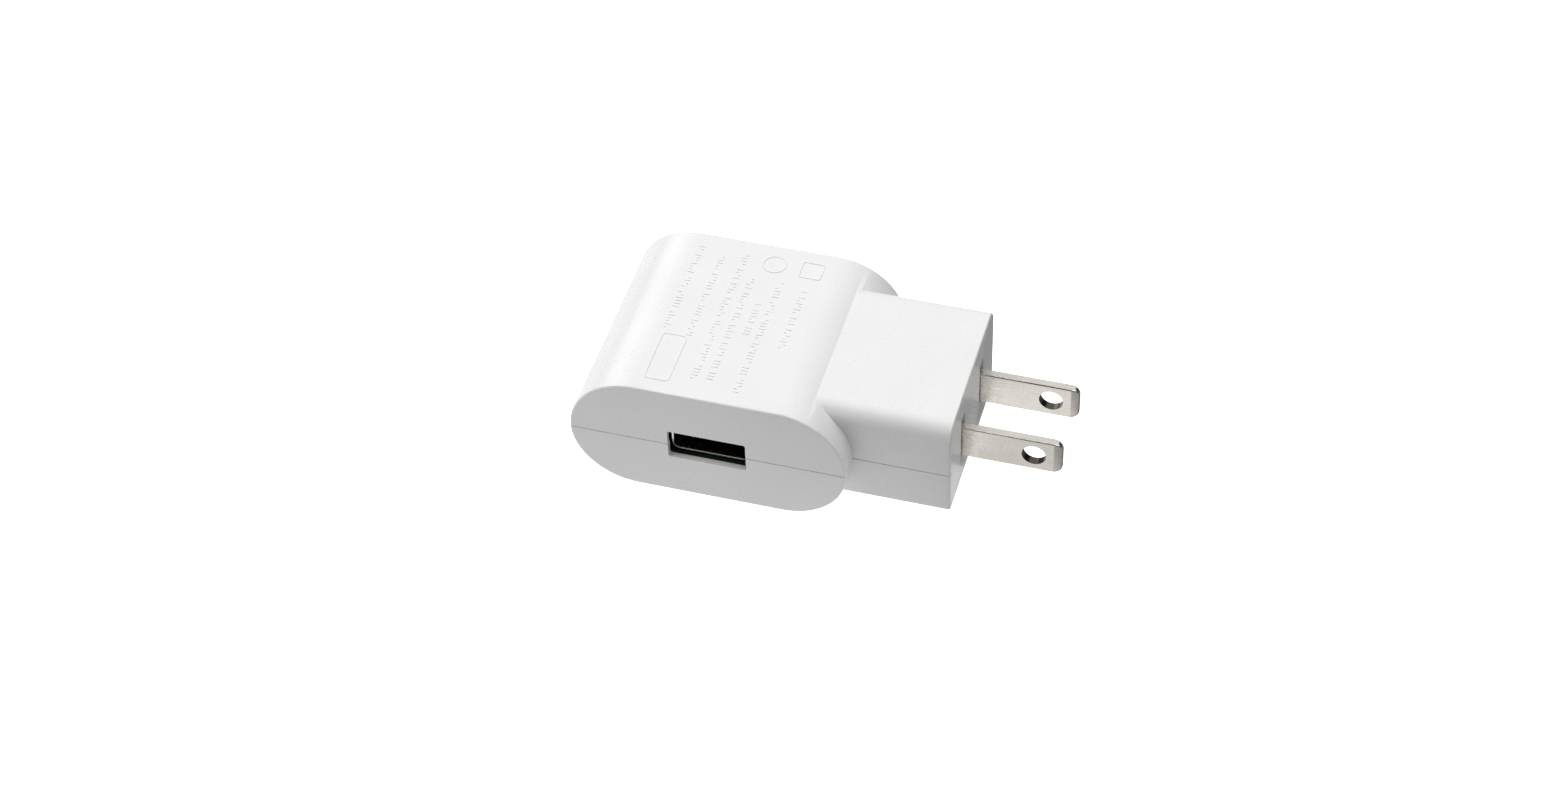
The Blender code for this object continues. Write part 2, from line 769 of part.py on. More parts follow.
def build_bobbin():
    """A tube round the centre leg, a flange at each end and a rail of pins under each flange."""
    hole_width = CORE_CENTRE_LEG + 2 * GAP
    hole_height = CORE_HEIGHT + 2 * GAP
    centre = (CORE_X, CORE_Z)
    reach = bobbin_half_length()
    tube = centred_rectangle(centre, hole_width + 2 * BOBBIN_WALL, hole_height + 2 * BOBBIN_WALL)
    bobbin = prism("transformer_bobbin", [tube], CORE_Y - reach, CORE_Y + reach, "Y")
    for end in (-1, 1):
        outer_y = CORE_Y + end * reach
        inner_y = outer_y - end * BOBBIN_WALL
        flange_x = BOBBIN_FLANGE_WIDTH / 2
        flange_z = BOBBIN_FLANGE_HEIGHT / 2
        flange = block(
            f"bobbin_flange_{end}",
            (CORE_X - flange_x, min(outer_y, inner_y), CORE_Z - flange_z),
            (CORE_X + flange_x, max(outer_y, inner_y), CORE_Z + flange_z),
        )
        rail_y = CORE_Y + end * rail_centre()
        rail = block(
            f"bobbin_rail_{end}",
            (CORE_X - RAIL_WIDTH / 2, rail_y - RAIL_DEPTH / 2, ON_BOARD),
            (CORE_X + RAIL_WIDTH / 2, rail_y + RAIL_DEPTH / 2, ON_BOARD + RAIL_HEIGHT),
        )
        join(bobbin, flange, rail)
    hole = centred_rectangle(centre, hole_width, hole_height)
    far = reach + OVERCUT
    cut(bobbin, prism("bobbin_hole", [hole], CORE_Y - far, CORE_Y + far, "Y"))
    for number, (x, y) in enumerate(pin_places(), 1):
        socket = rod(
            f"pin_socket_{number}",
            LEAD_RADIUS + GAP,
            (x, y, ON_BOARD - OVERCUT),
            (x, y, ON_BOARD + PIN_DEPTH + GAP),
        )
        cut(bobbin, socket)
    finish(bobbin, BLACK_PLASTIC)


def build_transformer_pins():
    for number, (x, y) in enumerate(pin_places(), 1):
        top = (x, y, ON_BOARD + PIN_DEPTH)
        pin = rod(f"transformer_pin_{number}", LEAD_RADIUS, (x, y, LEAD_END), top)
        finish(pin, TINNED_WIRE, smooth=True)
    return [(x, y, LEAD_RADIUS) for x, y in pin_places()]


def build_transformer_winding():
    """The coil, with its last layer of tape, as a ring round the bobbin's tube."""
    centre = (CORE_X, CORE_Z)
    clear = 2 * (GAP + BOBBIN_WALL + GAP)
    inner = centred_rectangle(centre, CORE_CENTRE_LEG + clear, CORE_HEIGHT + clear)
    outer = centred_rectangle(
        centre, BOBBIN_FLANGE_WIDTH - GAP, BOBBIN_FLANGE_HEIGHT - 4 * GAP, WINDING_RADIUS
    )
    reach = bobbin_half_length() - BOBBIN_WALL - GAP
    ring = prism("transformer_winding", [outer, inner], CORE_Y - reach, CORE_Y + reach, "Y")
    finish(ring, TAPE_YELLOW)


def build_transformer_tape():
    """The band of tape that holds the two core halves together."""
    centre = (CORE_X, CORE_Y)
    width = CORE_WIDTH + 2 * GAP
    depth = 2 * CORE_HALF_DEPTH + 3 * GAP
    inner = centred_rectangle(centre, width, depth)
    outer = centred_rectangle(centre, width + 2 * GAP, depth + 2 * GAP, 0.5 * MM)
    low_z = CORE_Z - TAPE_WIDTH / 2
    band = prism("transformer_tape", [outer, inner], low_z, low_z + TAPE_WIDTH, "Z")
    finish(band, TAPE_YELLOW)


# ---------------------------------------------------------------- other components


def build_capacitor(name, x, y, radius, height, pitch):
    """An electrolytic capacitor standing on the board: a can with a rolled groove and two leads."""
    edge = 0.4 * MM
    groove = 2.0 * MM
    profile = [
        (0.0, height),
        (radius - edge, height),
        (radius, height - edge),
        (radius, groove + edge),
        (radius - edge, groove),
        (radius, groove - edge),
        (radius, edge),
        (radius - edge, 0.0),
        (0.0, 0.0),
    ]
    place = (BODY_X + x, y, ON_BOARD)
    can = turned(name, profile, place)
    leads = [(place[0], y + side * pitch / 2) for side in (-1, 1)]
    for number, (lead_x, lead_y) in enumerate(leads, 1):
        low = (lead_x, lead_y, LEAD_END)
        join(can, rod(f"{name}_lead_{number}", LEAD_RADIUS, low, (lead_x, lead_y, ON_BOARD + edge)))
    finish(can, CAPACITOR_SLEEVE)
    return [(lead_x, lead_y, LEAD_RADIUS) for lead_x, lead_y in leads]


def build_axial(name, material, centre, radius, length, pitch):
    """A component lying along Y, with a bent lead at each end."""
    x, y, z = centre
    x += BODY_X
    body = rod(name, radius, (x, y - length / 2, z), (x, y + length / 2, z), CAN_SIDES)
    half = pitch / 2
    path = [(x, y - half, LEAD_END), (x, y - half, z), (x, y + half, z), (x, y + half, LEAD_END)]
    join(body, wire(f"{name}_leads", path, LEAD_RADIUS))
    finish(body, material)
    return [(x, y - half, LEAD_RADIUS), (x, y + half, LEAD_RADIUS)]


def build_resistor_sleeve():
    """Shrink sleeve that slips over the fusible resistor."""
    centre = (BODY_X + RESISTOR_X, RESISTOR_Z)
    inner = circle(centre, RESISTOR_RADIUS + GAP)
    outer = circle(centre, RESISTOR_RADIUS + 2 * GAP)
    half = SLEEVE_LENGTH / 2
    finish(prism("resistor_sleeve", [outer, inner], -half, half, "Y"), SHRINK_SLEEVE)


def build_choke(x, y):
    """A drum core with its winding."""
    x = BODY_X + x
    height = 8.6 * MM
    flange = 2.9 * MM
    waist = 1.5 * MM
    cheek = 1.0 * MM
    profile = [
        (0.0, height),
        (flange, height),
        (flange, height - cheek),
        (waist, height - cheek),
        (waist, cheek),
        (flange, cheek),
        (flange, 0.0),
        (0.0, 0.0),
    ]
    core = turned("filter_choke_core", profile, (x, y, ON_BOARD))
    leads = [(x, y - 1.6 * MM), (x, y + 1.6 * MM)]
    for number, (lead_x, lead_y) in enumerate(leads, 1):
        low = (lead_x, lead_y, LEAD_END)
        lead = rod(f"choke_lead_{number}", LEAD_RADIUS, low, (lead_x, lead_y, ON_BOARD + GAP))
        join(core, lead)
    finish(core, FERRITE)
    low_z = ON_BOARD + cheek + GAP
    high_z = ON_BOARD + height - cheek - GAP
    rings = [circle((x, y), 2.6 * MM), circle((x, y), waist + GAP)]
    finish(prism("filter_choke_winding", rings, low_z, high_z, "Z"), COPPER)
    return [(lead_x, lead_y, LEAD_RADIUS) for lead_x, lead_y in leads]


def build_disc_capacitor(x, y):
    """The safety capacitor: a thick disc that stands on two leads."""
    x = BODY_X + x
    radius = 3.6 * MM
    half = 1.7 * MM
    z = ON_BOARD + 1.0 * MM + radius
    disc = rod("safety_capacitor", radius, (x, y - half, z), (x, y + half, z), CAN_SIDES)
    bevel = disc.modifiers.new("rounded edges", "BEVEL")
    bevel.width = 0.8 * MM
    bevel.segments = 2
    leads = [(x - 2.5 * MM, y), (x + 2.5 * MM, y)]
    for number, (lead_x, lead_y) in enumerate(leads, 1):
        low = (lead_x, lead_y, LEAD_END)
        join(disc, rod(f"disc_lead_{number}", LEAD_RADIUS, low, (lead_x, lead_y, z)))
    finish(disc, DISC_BLUE)
    return [(lead_x, lead_y, LEAD_RADIUS) for lead_x, lead_y in leads]


def build_chip(name, x, y, width, depth, height, legs_per_side):
    """A moulded package under the board, with flat legs along two sides."""
    x = BODY_X + x
    top = UNDER_BOARD - GAP / 3
    low = (x - width / 2, y - depth / 2, top - height)
    body = block(name, low, (x + width / 2, y + depth / 2, top))
    pitch = depth / legs_per_side
    leg_half = pitch / 5
    for side in (-1, 1):
        for leg in range(legs_per_side):
            leg_y = y + (leg + 0.5) * pitch - depth / 2
            inner_x = x + side * (width / 2 - GAP)
            outer_x = x + side * (width / 2 + 0.9 * MM)
            low = (min(inner_x, outer_x), leg_y - leg_half, top - 0.3 * MM)
            high = (max(inner_x, outer_x), leg_y + leg_half, UNDER_BOARD)
            join(body, block(f"{name}_leg_{side}_{leg}", low, high))
    finish(body, CHIP_BLACK)


def build_small_chips():
    """Surface-mounted resistors and capacitors under the board."""
    places = (
        ("chip_resistor_1", 2.0, 9.0, CHIP_BLACK),
        ("chip_resistor_2", 2.0, 11.5, CHIP_BLACK),
        ("chip_resistor_3", -12.0, 5.2, CHIP_BLACK),
        ("chip_resistor_4", -12.0, 3.5, CHIP_BLACK),
        ("chip_capacitor_1", 15.0, 10.0, CHIP_TAN),
        ("chip_capacitor_2", -9.0, -4.0, CHIP_TAN),
    )
    for name, x, y, material in places:
        low = (BODY_X + (x - 1.0) * MM, (y - 0.6) * MM, UNDER_BOARD - 0.6 * MM)
        high = (BODY_X + (x + 1.0) * MM, (y + 0.6) * MM, UNDER_BOARD)
        finish(block(name, low, high), material)


def build_board(round_holes):
    """The circuit board, drilled for every lead, with slots for the receptacle."""
    outline = rounded_rectangle(
        (BODY_X - BOARD_HALF_WIDTH, BOARD_FRONT_Y),
        (BODY_X + BOARD_HALF_WIDTH, BOARD_BACK_Y),
        BOARD_RADIUS,
        BOARD_RADIUS,
    )
    holes = [circle((x, y), radius + GAP, LEAD_SIDES) for x, y, radius in round_holes]
    for x, y in shell_legs():
        holes.append(centred_rectangle((x, y), SHELL_WALL + 2 * GAP, SHELL_LEG_WIDTH + 2 * GAP))
    for offset in CONTACT_OFFSETS:
        place = (BODY_X + offset, CONTACT_LEG_Y)
        size = (CONTACT_WIDTH + 2 * GAP, CONTACT_THICKNESS + 2 * GAP)
        holes.append(centred_rectangle(place, *size))
    finish(prism("main_circuit_board", [outline, *holes], BOARD_BOTTOM, BOARD_TOP, "Z"), BOARD_GREEN)


# ---------------------------------------------------------------- assembly


def build_charger():
    build_housings()
    build_plug_plate()
    build_blade("plug_blade_front", -BLADE_SPACING / 2)
    build_blade("plug_blade_rear", BLADE_SPACING / 2)

    build_usb_shell()
    build_usb_insulator()
    for number, offset in enumerate(CONTACT_OFFSETS, 1):
        build_usb_contact(number, offset)

    build_core_half("transformer_core_front", -1)
    build_core_half("transformer_core_rear", 1)
    build_bobbin()
    build_transformer_winding()
    build_transformer_tape()

    drilled = build_transformer_pins()
    drilled += build_blade_lead("blade_lead_front", -1)
    drilled += build_blade_lead("blade_lead_rear", 1)
    for name, sizes in CAPACITORS.items():
        drilled += build_capacitor(name, *sizes)
    drilled += build_choke(12.0 * MM, 0.3 * MM)
    drilled += build_axial(
        "fusible_resistor",
        RESISTOR_BODY,
        (RESISTOR_X, 0.0, RESISTOR_Z),
        RESISTOR_RADIUS,
        RESISTOR_LENGTH,
        RESISTOR_PITCH,
    )
    build_resistor_sleeve()
    drilled += build_axial(
        "output_diode",
        CHIP_BLACK,
        (DIODE_X, DIODE_Y, DIODE_Z),
        DIODE_RADIUS,
        DIODE_LENGTH,
        DIODE_PITCH,
    )
    drilled += build_disc_capacitor(-12.6 * MM, 14.0 * MM)
    build_chip("bridge_rectifier", 15.8 * MM, 0.0, 4.0 * MM, 4.8 * MM, 1.6 * MM, 2)
    build_chip("controller_chip", 7.6 * MM, 7.5 * MM, 3.9 * MM, 4.9 * MM, 1.5 * MM, 4)
    build_small_chips()
    build_board(drilled)


build_charger()
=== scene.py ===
"""The looks of the USB wall charger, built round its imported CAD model.

The origin is under the middle of the charger. +X points along the plug blades,
+Y away from the USB socket and +Z up. All lengths are in metres.
"""

import math
import random

import bmesh
import bpy
from mathutils import Matrix, Vector


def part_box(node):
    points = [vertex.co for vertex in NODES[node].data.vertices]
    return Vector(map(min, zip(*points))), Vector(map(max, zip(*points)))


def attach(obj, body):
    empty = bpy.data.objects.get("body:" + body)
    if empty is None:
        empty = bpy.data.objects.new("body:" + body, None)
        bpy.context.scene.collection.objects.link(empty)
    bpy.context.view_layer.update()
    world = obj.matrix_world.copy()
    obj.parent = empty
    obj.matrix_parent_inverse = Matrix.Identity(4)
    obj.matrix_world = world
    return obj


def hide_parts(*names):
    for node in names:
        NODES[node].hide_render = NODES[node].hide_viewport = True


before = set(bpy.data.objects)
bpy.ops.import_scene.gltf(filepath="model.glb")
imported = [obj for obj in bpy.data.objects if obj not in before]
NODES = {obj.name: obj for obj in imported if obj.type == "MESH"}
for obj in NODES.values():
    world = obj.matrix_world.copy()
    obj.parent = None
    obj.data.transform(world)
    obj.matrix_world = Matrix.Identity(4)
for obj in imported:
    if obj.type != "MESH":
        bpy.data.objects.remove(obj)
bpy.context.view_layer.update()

MM = 0.001

# ---------------------------------------------------------------- places taken from the frame

UPPER_LOW, UPPER_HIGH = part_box("upper_housing")
LOWER_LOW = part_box("lower_housing")[0]
PLATE_LOW, PLATE_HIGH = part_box("plug_end_plate")
SHELL_LOW, SHELL_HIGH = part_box("usb_shell")
BLADE_LOW, BLADE_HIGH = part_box("plug_blade_rear")
BOARD_LOW, BOARD_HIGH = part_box("main_circuit_board")

FRONT_Y = UPPER_LOW.y
BACK_Y = UPPER_HIGH.y
TOP_Z = UPPER_HIGH.z
PLUG_X = UPPER_HIGH.x
BODY_X = (SHELL_LOW.x + SHELL_HIGH.x) / 2
BODY_HALF_WIDTH = BODY_X - LOWER_LOW.x
SHELL_HEIGHT = 5.7 * MM
SEAM_Z = SHELL_HIGH.z - SHELL_HEIGHT / 2
BLADE_Y = (BLADE_LOW.y + BLADE_HIGH.y) / 2
BLADE_Z = (BLADE_LOW.z + BLADE_HIGH.z) / 2

# ---------------------------------------------------------------- housing sizes

WALL = 1.8 * MM
# The finished wall round the port is thinner than the CAD's.
PORT_WALL = 1.1 * MM
PORT_WIDTH = 13.2 * MM
PORT_HEIGHT = 5.7 * MM
PORT_RADIUS = 0.35 * MM
RIM = 0.7 * MM
PLATE_SETBACK = 1.0 * MM
SNOUT_HALF_WIDTH = PLATE_HIGH.y + PLATE_SETBACK
SNOUT_TOP = PLATE_HIGH.z + PLATE_SETBACK
SNOUT_BOTTOM = PLATE_LOW.z - PLATE_SETBACK
SNOUT_TOP_RADIUS = 2.6 * MM
SNOUT_BOTTOM_RADIUS = 0.6 * MM
BODY_RIM_RADIUS = 0.35 * MM
SNOUT_RIM_RADIUS = 0.3 * MM
SEAM_GAP = 0.08 * MM
SEAM_ROUNDING = 0.07 * MM
DRAFT = math.tan(math.radians(1.5))
PORT_ROUNDING = 0.20 * MM
LIP_INSET = 1.1 * MM
LIP_HEIGHT = 1.2 * MM
CLEARANCE = 0.3 * MM
POST_OFFSET = (17.9 * MM, 13.0 * MM)
POST_HALF_WIDTH = 1.0 * MM
RIB_OFFSET = (17.3 * MM, 13.6 * MM)
RIB_HALF_SIZE = (0.6 * MM, 1.5 * MM)
RIB_TOP = 19.6 * MM
POST_BOTTOM = 2.4 * MM
OVERCUT = 1.0 * MM
FAR = 0.2

# ---------------------------------------------------------------- plug and socket sizes

PLATE_THICKNESS = 2.2 * MM
PLATE_JOINT = 0.1 * MM
PLATE_ROUNDING = 0.15 * MM
BOSS_WIDTH = 4.4 * MM
BOSS_HEIGHT = 9.6 * MM
RECESS_WIDTH = 2.5 * MM
RECESS_HEIGHT = 10.5 * MM
RECESS_DEPTH = 1.0 * MM
RECESS_RADIUS = 0.4 * MM
BLADE_FIT = 0.08 * MM
BLADE_HEIGHT = 6.35 * MM
BLADE_THICKNESS = 1.5 * MM
BLADE_TAIL_HEIGHT = 4.0 * MM
BLADE_SHOULDER_X = PLUG_X - 3.5 * MM
BLADE_TIP_RADIUS = 1.3 * MM
BLADE_CHAMFER_LENGTH = 1.4 * MM
BLADE_CHAMFER_DEPTH = 0.35 * MM
BLADE_HOLE_X = PLUG_X + 11.9 * MM
BLADE_HOLE_RADIUS = 1.985 * MM
BLADE_ROUNDING = 0.20 * MM
BLADE_EDGE_STEPS = 8
HOLE_EDGE_REACH = 0.02 * MM
SHELL_WALL = 0.3 * MM
SHELL_RADIUS = 1.1 * MM
SHELL_ROUNDING = 0.03 * MM
SHELL_LEAD_IN = 0.095 * MM
SHELL_LENGTH = 14.0 * MM
# The finished shell starts in front of the CAD's, so that its lip shows inside the port.
SHELL_LIP_FORWARD = 0.7 * MM
SHELL_FRONT_Y = SHELL_LOW.y - SHELL_LIP_FORWARD
SHELL_BACK_Y = SHELL_LOW.y + SHELL_LENGTH
LEG_WIDTH = 1.6 * MM
LEG_OFFSETS = (4 * MM, 10 * MM)
SPRING_WIDTH = 2.4 * MM
SPRING_SLIT = 0.25 * MM
SPRING_FRONT = 4.5 * MM
SPRING_BACK = 10.5 * MM

# ---------------------------------------------------------------- fineness

BODY_STEPS = 40
CORNER_STEPS = 10
RIM_STEPS = 5
HOLE_SIDES = 64
SHARP_ANGLE = math.radians(38)
BLADE_SHARP_ANGLE = math.radians(13)
SAME_PLACE = 1e-6


# ---------------------------------------------------------------- outlines


def arc(centre, radius, first_angle, steps):
    """Points over a quarter turn, counter-clockwise from first_angle in degrees."""
    points = []
    for step in range(steps + 1):
        angle = math.radians(first_angle + 90 * step / steps)
        points.append((centre[0] + radius * math.cos(angle), centre[1] + radius * math.sin(angle)))
    return points


def without_repeats(points):
    kept = []
    for point in points:
        if not kept or math.dist(point, kept[-1]) > SAME_PLACE:
            kept.append(point)
    if math.dist(kept[0], kept[-1]) < SAME_PLACE:
        kept.pop()
    return kept


def body_outline(inset, top):
    """The body seen from the port: flat top and bottom, and ends widest at the parting line."""
    upper_radius = top - SEAM_Z
    lower_radius = SEAM_Z
    points = []
    for side, radius, first_angle in (
        (1, upper_radius, 0),
        (-1, upper_radius, 90),
        (-1, lower_radius, 180),
        (1, lower_radius, 270),
    ):
        centre = (BODY_X + side * (BODY_HALF_WIDTH - radius), SEAM_Z)
        points += arc(centre, radius - inset, first_angle, BODY_STEPS)
    return without_repeats(points)


def rounded_rectangle(low, high, bottom_radius, top_radius, steps=CORNER_STEPS):
    """A rectangle between two corners, with rounded corners at the bottom and at the top."""
    points = []
    for across, up, first_angle in ((1, 1, 0), (0, 1, 90), (0, 0, 180), (1, 0, 270)):
        radius = max(top_radius if up else bottom_radius, 10 * SAME_PLACE)
        centre = (
            high[0] - radius if across else low[0] + radius,
            high[1] - radius if up else low[1] + radius,
        )
        points += arc(centre, radius, first_angle, steps)
    return points


def centred_rectangle(centre, width, height, radius, steps=CORNER_STEPS):
    low = (centre[0] - width / 2, centre[1] - height / 2)
    high = (centre[0] + width / 2, centre[1] + height / 2)
    return rounded_rectangle(low, high, radius, radius, steps)


def snout_outline(inset=0.0):
    """The snout seen from the plug: well rounded along the top, crisp along the bottom."""
    return rounded_rectangle(
        (-SNOUT_HALF_WIDTH + inset, SNOUT_BOTTOM + inset),
        (SNOUT_HALF_WIDTH - inset, SNOUT_TOP - inset),
        SNOUT_BOTTOM_RADIUS - inset,
        SNOUT_TOP_RADIUS - inset,
    )


def plan_outline(inset):
    """The body and the snout seen from above, open past the plug face."""
    left = BODY_X - BODY_HALF_WIDTH + inset
    right = BODY_X + BODY_HALF_WIDTH - inset
    open_end = PLUG_X + OVERCUT
    body_y = BACK_Y - inset
    snout_y = SNOUT_HALF_WIDTH - inset
    near_half = [(left, -body_y), (right, -body_y), (right, -snout_y), (open_end, -snout_y)]
    return near_half + [(x, -y) for x, y in reversed(near_half)]


def circle(centre, radius, sides=HOLE_SIDES):
    turn = 2 * math.pi / sides
    return [
        (centre[0] + radius * math.cos(turn * i), centre[1] + radius * math.sin(turn * i))
        for i in range(sides)
    ]


# ---------------------------------------------------------------- mesh helpers


def placed(outline, axis, position):
    """A flat outline as points in space, on the plane where that axis has that position."""
    if axis == "X":
        return [(position, a, b) for a, b in outline]
    if axis == "Y":
        return [(a, position, b) for a, b in outline]
    return [(a, b, position) for a, b in outline]


def add_object(name, shape):
    """A new object that holds this bmesh."""
    mesh = bpy.data.meshes.new(name)
    bmesh.ops.recalc_face_normals(shape, faces=shape.faces)
    shape.to_mesh(mesh)
    shape.free()
    piece = bpy.data.objects.new(name, mesh)
    bpy.context.scene.collection.objects.link(piece)
    return piece


def add_loft(shape, rings, closed=False):
    """Skins rings of matching points. The ends are capped unless the skin closes on itself."""
    loops = [[shape.verts.new(point) for point in ring] for ring in rings]
    pairs = list(zip(loops, loops[1:]))
    if closed:
        pairs.append((loops[-1], loops[0]))
    for near, far in pairs:
        for i in range(len(near)):
            shape.faces.new((near[i - 1], near[i], far[i], far[i - 1]))
    if not closed:
        shape.faces.new(loops[0])
        shape.faces.new(list(reversed(loops[-1])))


def loft(name, rings, closed=False):
    shape = bmesh.new()
    add_loft(shape, rings, closed)
    return add_object(name, shape)


def prism(name, outline, axis, start, end):
    return loft(name, [placed(outline, axis, start), placed(outline, axis, end)])


def block(name, low, high):
    outline = [(low[0], low[1]), (high[0], low[1]), (high[0], high[1]), (low[0], high[1])]
    return prism(name, outline, "Z", low[2], high[2])


def rim_sections(start, end, start_radius, end_radius):
    """(position, inset) pairs along a bar whose end edges are rounded."""
    turns = [math.pi / 2 * step / RIM_STEPS for step in range(RIM_STEPS + 1)]
    near = [
        (start + start_radius * (1 - math.cos(turn)), start_radius * (1 - math.sin(turn)))
        for turn in turns
    ]
    far = [
        (end - end_radius * (1 - math.cos(turn)), end_radius * (1 - math.sin(turn)))
        for turn in reversed(turns)
    ]
    return near + far


def apply_modifiers(piece):
    graph = bpy.context.evaluated_depsgraph_get()
    mesh = bpy.data.meshes.new_from_object(piece.evaluated_get(graph))
    piece.modifiers.clear()
    piece.data = mesh


def combine(piece, tools, operation):
    """Cuts or joins the tools, which are used up."""
    for tool in tools:
        modifier = piece.modifiers.new(operation.lower(), "BOOLEAN")
        modifier.operation = operation
        modifier.solver = "MANIFOLD"
        modifier.object = tool
    apply_modifiers(piece)
    for tool in tools:
        bpy.data.objects.remove(tool)
    return piece


def cut(piece, *tools):
    return combine(piece, tools, "DIFFERENCE")


def join(piece, *tools):
    return combine(piece, tools, "UNION")


def round_edges(piece, radius, chosen=lambda point: True, segments=3):
    """Rounds the sharp edges whose two ends are both chosen."""
    shape = bmesh.new()
    shape.from_mesh(piece.data)
    bmesh.ops.remove_doubles(shape, verts=shape.verts, dist=SAME_PLACE / 10)
    edges = [
        edge
        for edge in shape.edges
        if len(edge.link_faces) == 2
        and edge.calc_face_angle() > SHARP_ANGLE
        and all(chosen(vert.co) for vert in edge.verts)
    ]
    bmesh.ops.bevel(
        shape,
        geom=edges,
        offset=radius,
        segments=segments,
        profile=0.5,
        affect="EDGES",
        clamp_overlap=True,
    )
    shape.to_mesh(piece.data)
    shape.free()


def on_plane(axis, position):
    """A test for points that lie on the plane where that axis has that position."""
    index = "XYZ".index(axis)
    return lambda point: abs(point[index] - position) < SAME_PLACE


def shade(piece, sharp_angle=SHARP_ANGLE):
    """Smooth shading that keeps true edges sharp and flat faces flat."""
    piece.data.shade_smooth()
    piece.data.set_sharp_from_angle(angle=sharp_angle)
    weighted = piece.modifiers.new("flat faces stay flat", "WEIGHTED_NORMAL")
    weighted.keep_sharp = True
    weighted.weight = 100


def dress(piece, material):
    piece.data.materials.clear()
    piece.data.materials.append(material)


def place(piece, node, slot, sharp_angle=SHARP_ANGLE):
    """The piece stands for a CAD node and takes its finish from a slot of the record."""
    shade(piece, sharp_angle)
    dress(piece, MATERIALS[slot])
    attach(piece, "root")
    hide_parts(node)


# ---------------------------------------------------------------- material helpers


class Nodes:
    """A short way to build a material's node tree."""

    def __init__(self, name):
        self.material = bpy.data.materials.new(name)
        self.material.use_nodes = True
        self.tree = self.material.node_tree
        self.shader = self.tree.nodes["Principled BSDF"]
        self.place = self.add("ShaderNodeTexCoord").outputs["Object"]

    def add(self, kind, **settings):
        node = self.tree.nodes.new(kind)
        for name, value in settings.items():
            setattr(node, name, value)
        return node

    def link(self, source, target):
        self.tree.links.new(source, target)

    def stretched(self, scale):
        """The place on the object with each axis scaled, for grain that runs one way."""
        mapping = self.add("ShaderNodeMapping")
        mapping.inputs["Scale"].default_value = scale
        self.link(self.place, mapping.inputs["Vector"])
        return mapping.outputs["Vector"]

    def along(self, axis):
        """The distance from the origin along one axis."""
        split = self.add("ShaderNodeSeparateXYZ")
        self.link(self.place, split.inputs["Vector"])
        return split.outputs[axis]

    def from_line(self, x, z):
        """The distance from a line along Y."""
        flat = self.add("ShaderNodeVectorMath", operation="MULTIPLY")
        flat.inputs[1].default_value = (1.0, 0.0, 1.0)
        self.link(self.place, flat.inputs[0])
        distance = self.add("ShaderNodeVectorMath", operation="DISTANCE")
        distance.inputs[1].default_value = (x, 0.0, z)
        self.link(flat.outputs["Vector"], distance.inputs[0])
        return distance.outputs["Value"]

    def facing(self, axis):
        """How far the surface faces along one axis."""
        split = self.add("ShaderNodeSeparateXYZ")
        self.link(self.add("ShaderNodeNewGeometry").outputs["Normal"], split.inputs["Vector"])
        return split.outputs[axis]

    def noise(self, scale, detail=3.0, roughness=0.5, vector=None):
        noise = self.add("ShaderNodeTexNoise")
        noise.inputs["Scale"].default_value = scale
        noise.inputs["Detail"].default_value = detail
        noise.inputs["Roughness"].default_value = roughness
        self.link(vector or self.place, noise.inputs["Vector"])
        return noise.outputs["Fac"]

    def bands(self, axis, pitch, wobble=0.0):
        """Even stripes across one axis, such as turns of wire."""
        wave = self.add("ShaderNodeTexWave", wave_type="BANDS", bands_direction=axis)
        wave.inputs["Scale"].default_value = math.pi / 10 / pitch
        wave.inputs["Distortion"].default_value = wobble
        self.link(self.place, wave.inputs["Vector"])
        return wave.outputs["Fac"]

    def span(self, value, from_low, from_high, low=0.0, high=1.0):
        """The value moved from one range to another."""
        mapped = self.add("ShaderNodeMapRange")
        mapped.inputs["From Min"].default_value = from_low
        mapped.inputs["From Max"].default_value = from_high
        mapped.inputs["To Min"].default_value = low
        mapped.inputs["To Max"].default_value = high
        self.link(value, mapped.inputs["Value"])
        return mapped.outputs["Result"]

    def blend(self, amount, first, second):
        """A colour between two colours. Either may be a socket."""
        mix = self.add("ShaderNodeMix", data_type="RGBA")
        self.link(amount, mix.inputs["Factor"])
        for socket, colour in ((mix.inputs[6], first), (mix.inputs[7], second)):
            if isinstance(colour, tuple):
                socket.default_value = (*colour, 1.0)
            else:
                self.link(colour, socket)
        return mix.outputs[2]

    def bump(self, height, distance, after=None):
        bump = self.add("ShaderNodeBump")
        bump.inputs["Distance"].default_value = distance
        self.link(height, bump.inputs["Height"])
        if after:
            self.link(after, bump.inputs["Normal"])
        return bump.outputs["Normal"]

    def set(self, **values):
        """Shader inputs by name. A socket is linked, and anything else is set on the shader."""
        for name, value in values.items():
            socket = self.shader.inputs[name.replace("_", " ")]
            if isinstance(value, bpy.types.NodeSocket):
                self.link(value, socket)
            else:
                socket.default_value = value
        return self.material


def moulded(name, dark, light, roughness, grain=2500, depth=0.004 * MM):
    """Plastic, rubber or ceramic with a slightly uneven tone and a fine grain."""
    nodes = Nodes(name)
    tone = nodes.span(nodes.noise(260, 3.0), 0.35, 0.65)
    fine = nodes.noise(grain, 3.0, 0.6)
    return nodes.set(
        Base_Color=nodes.blend(tone, dark, light),
        Roughness=nodes.span(fine, 0.3, 0.7, roughness - 0.06, roughness + 0.06),
        Normal=nodes.bump(fine, depth),
    )


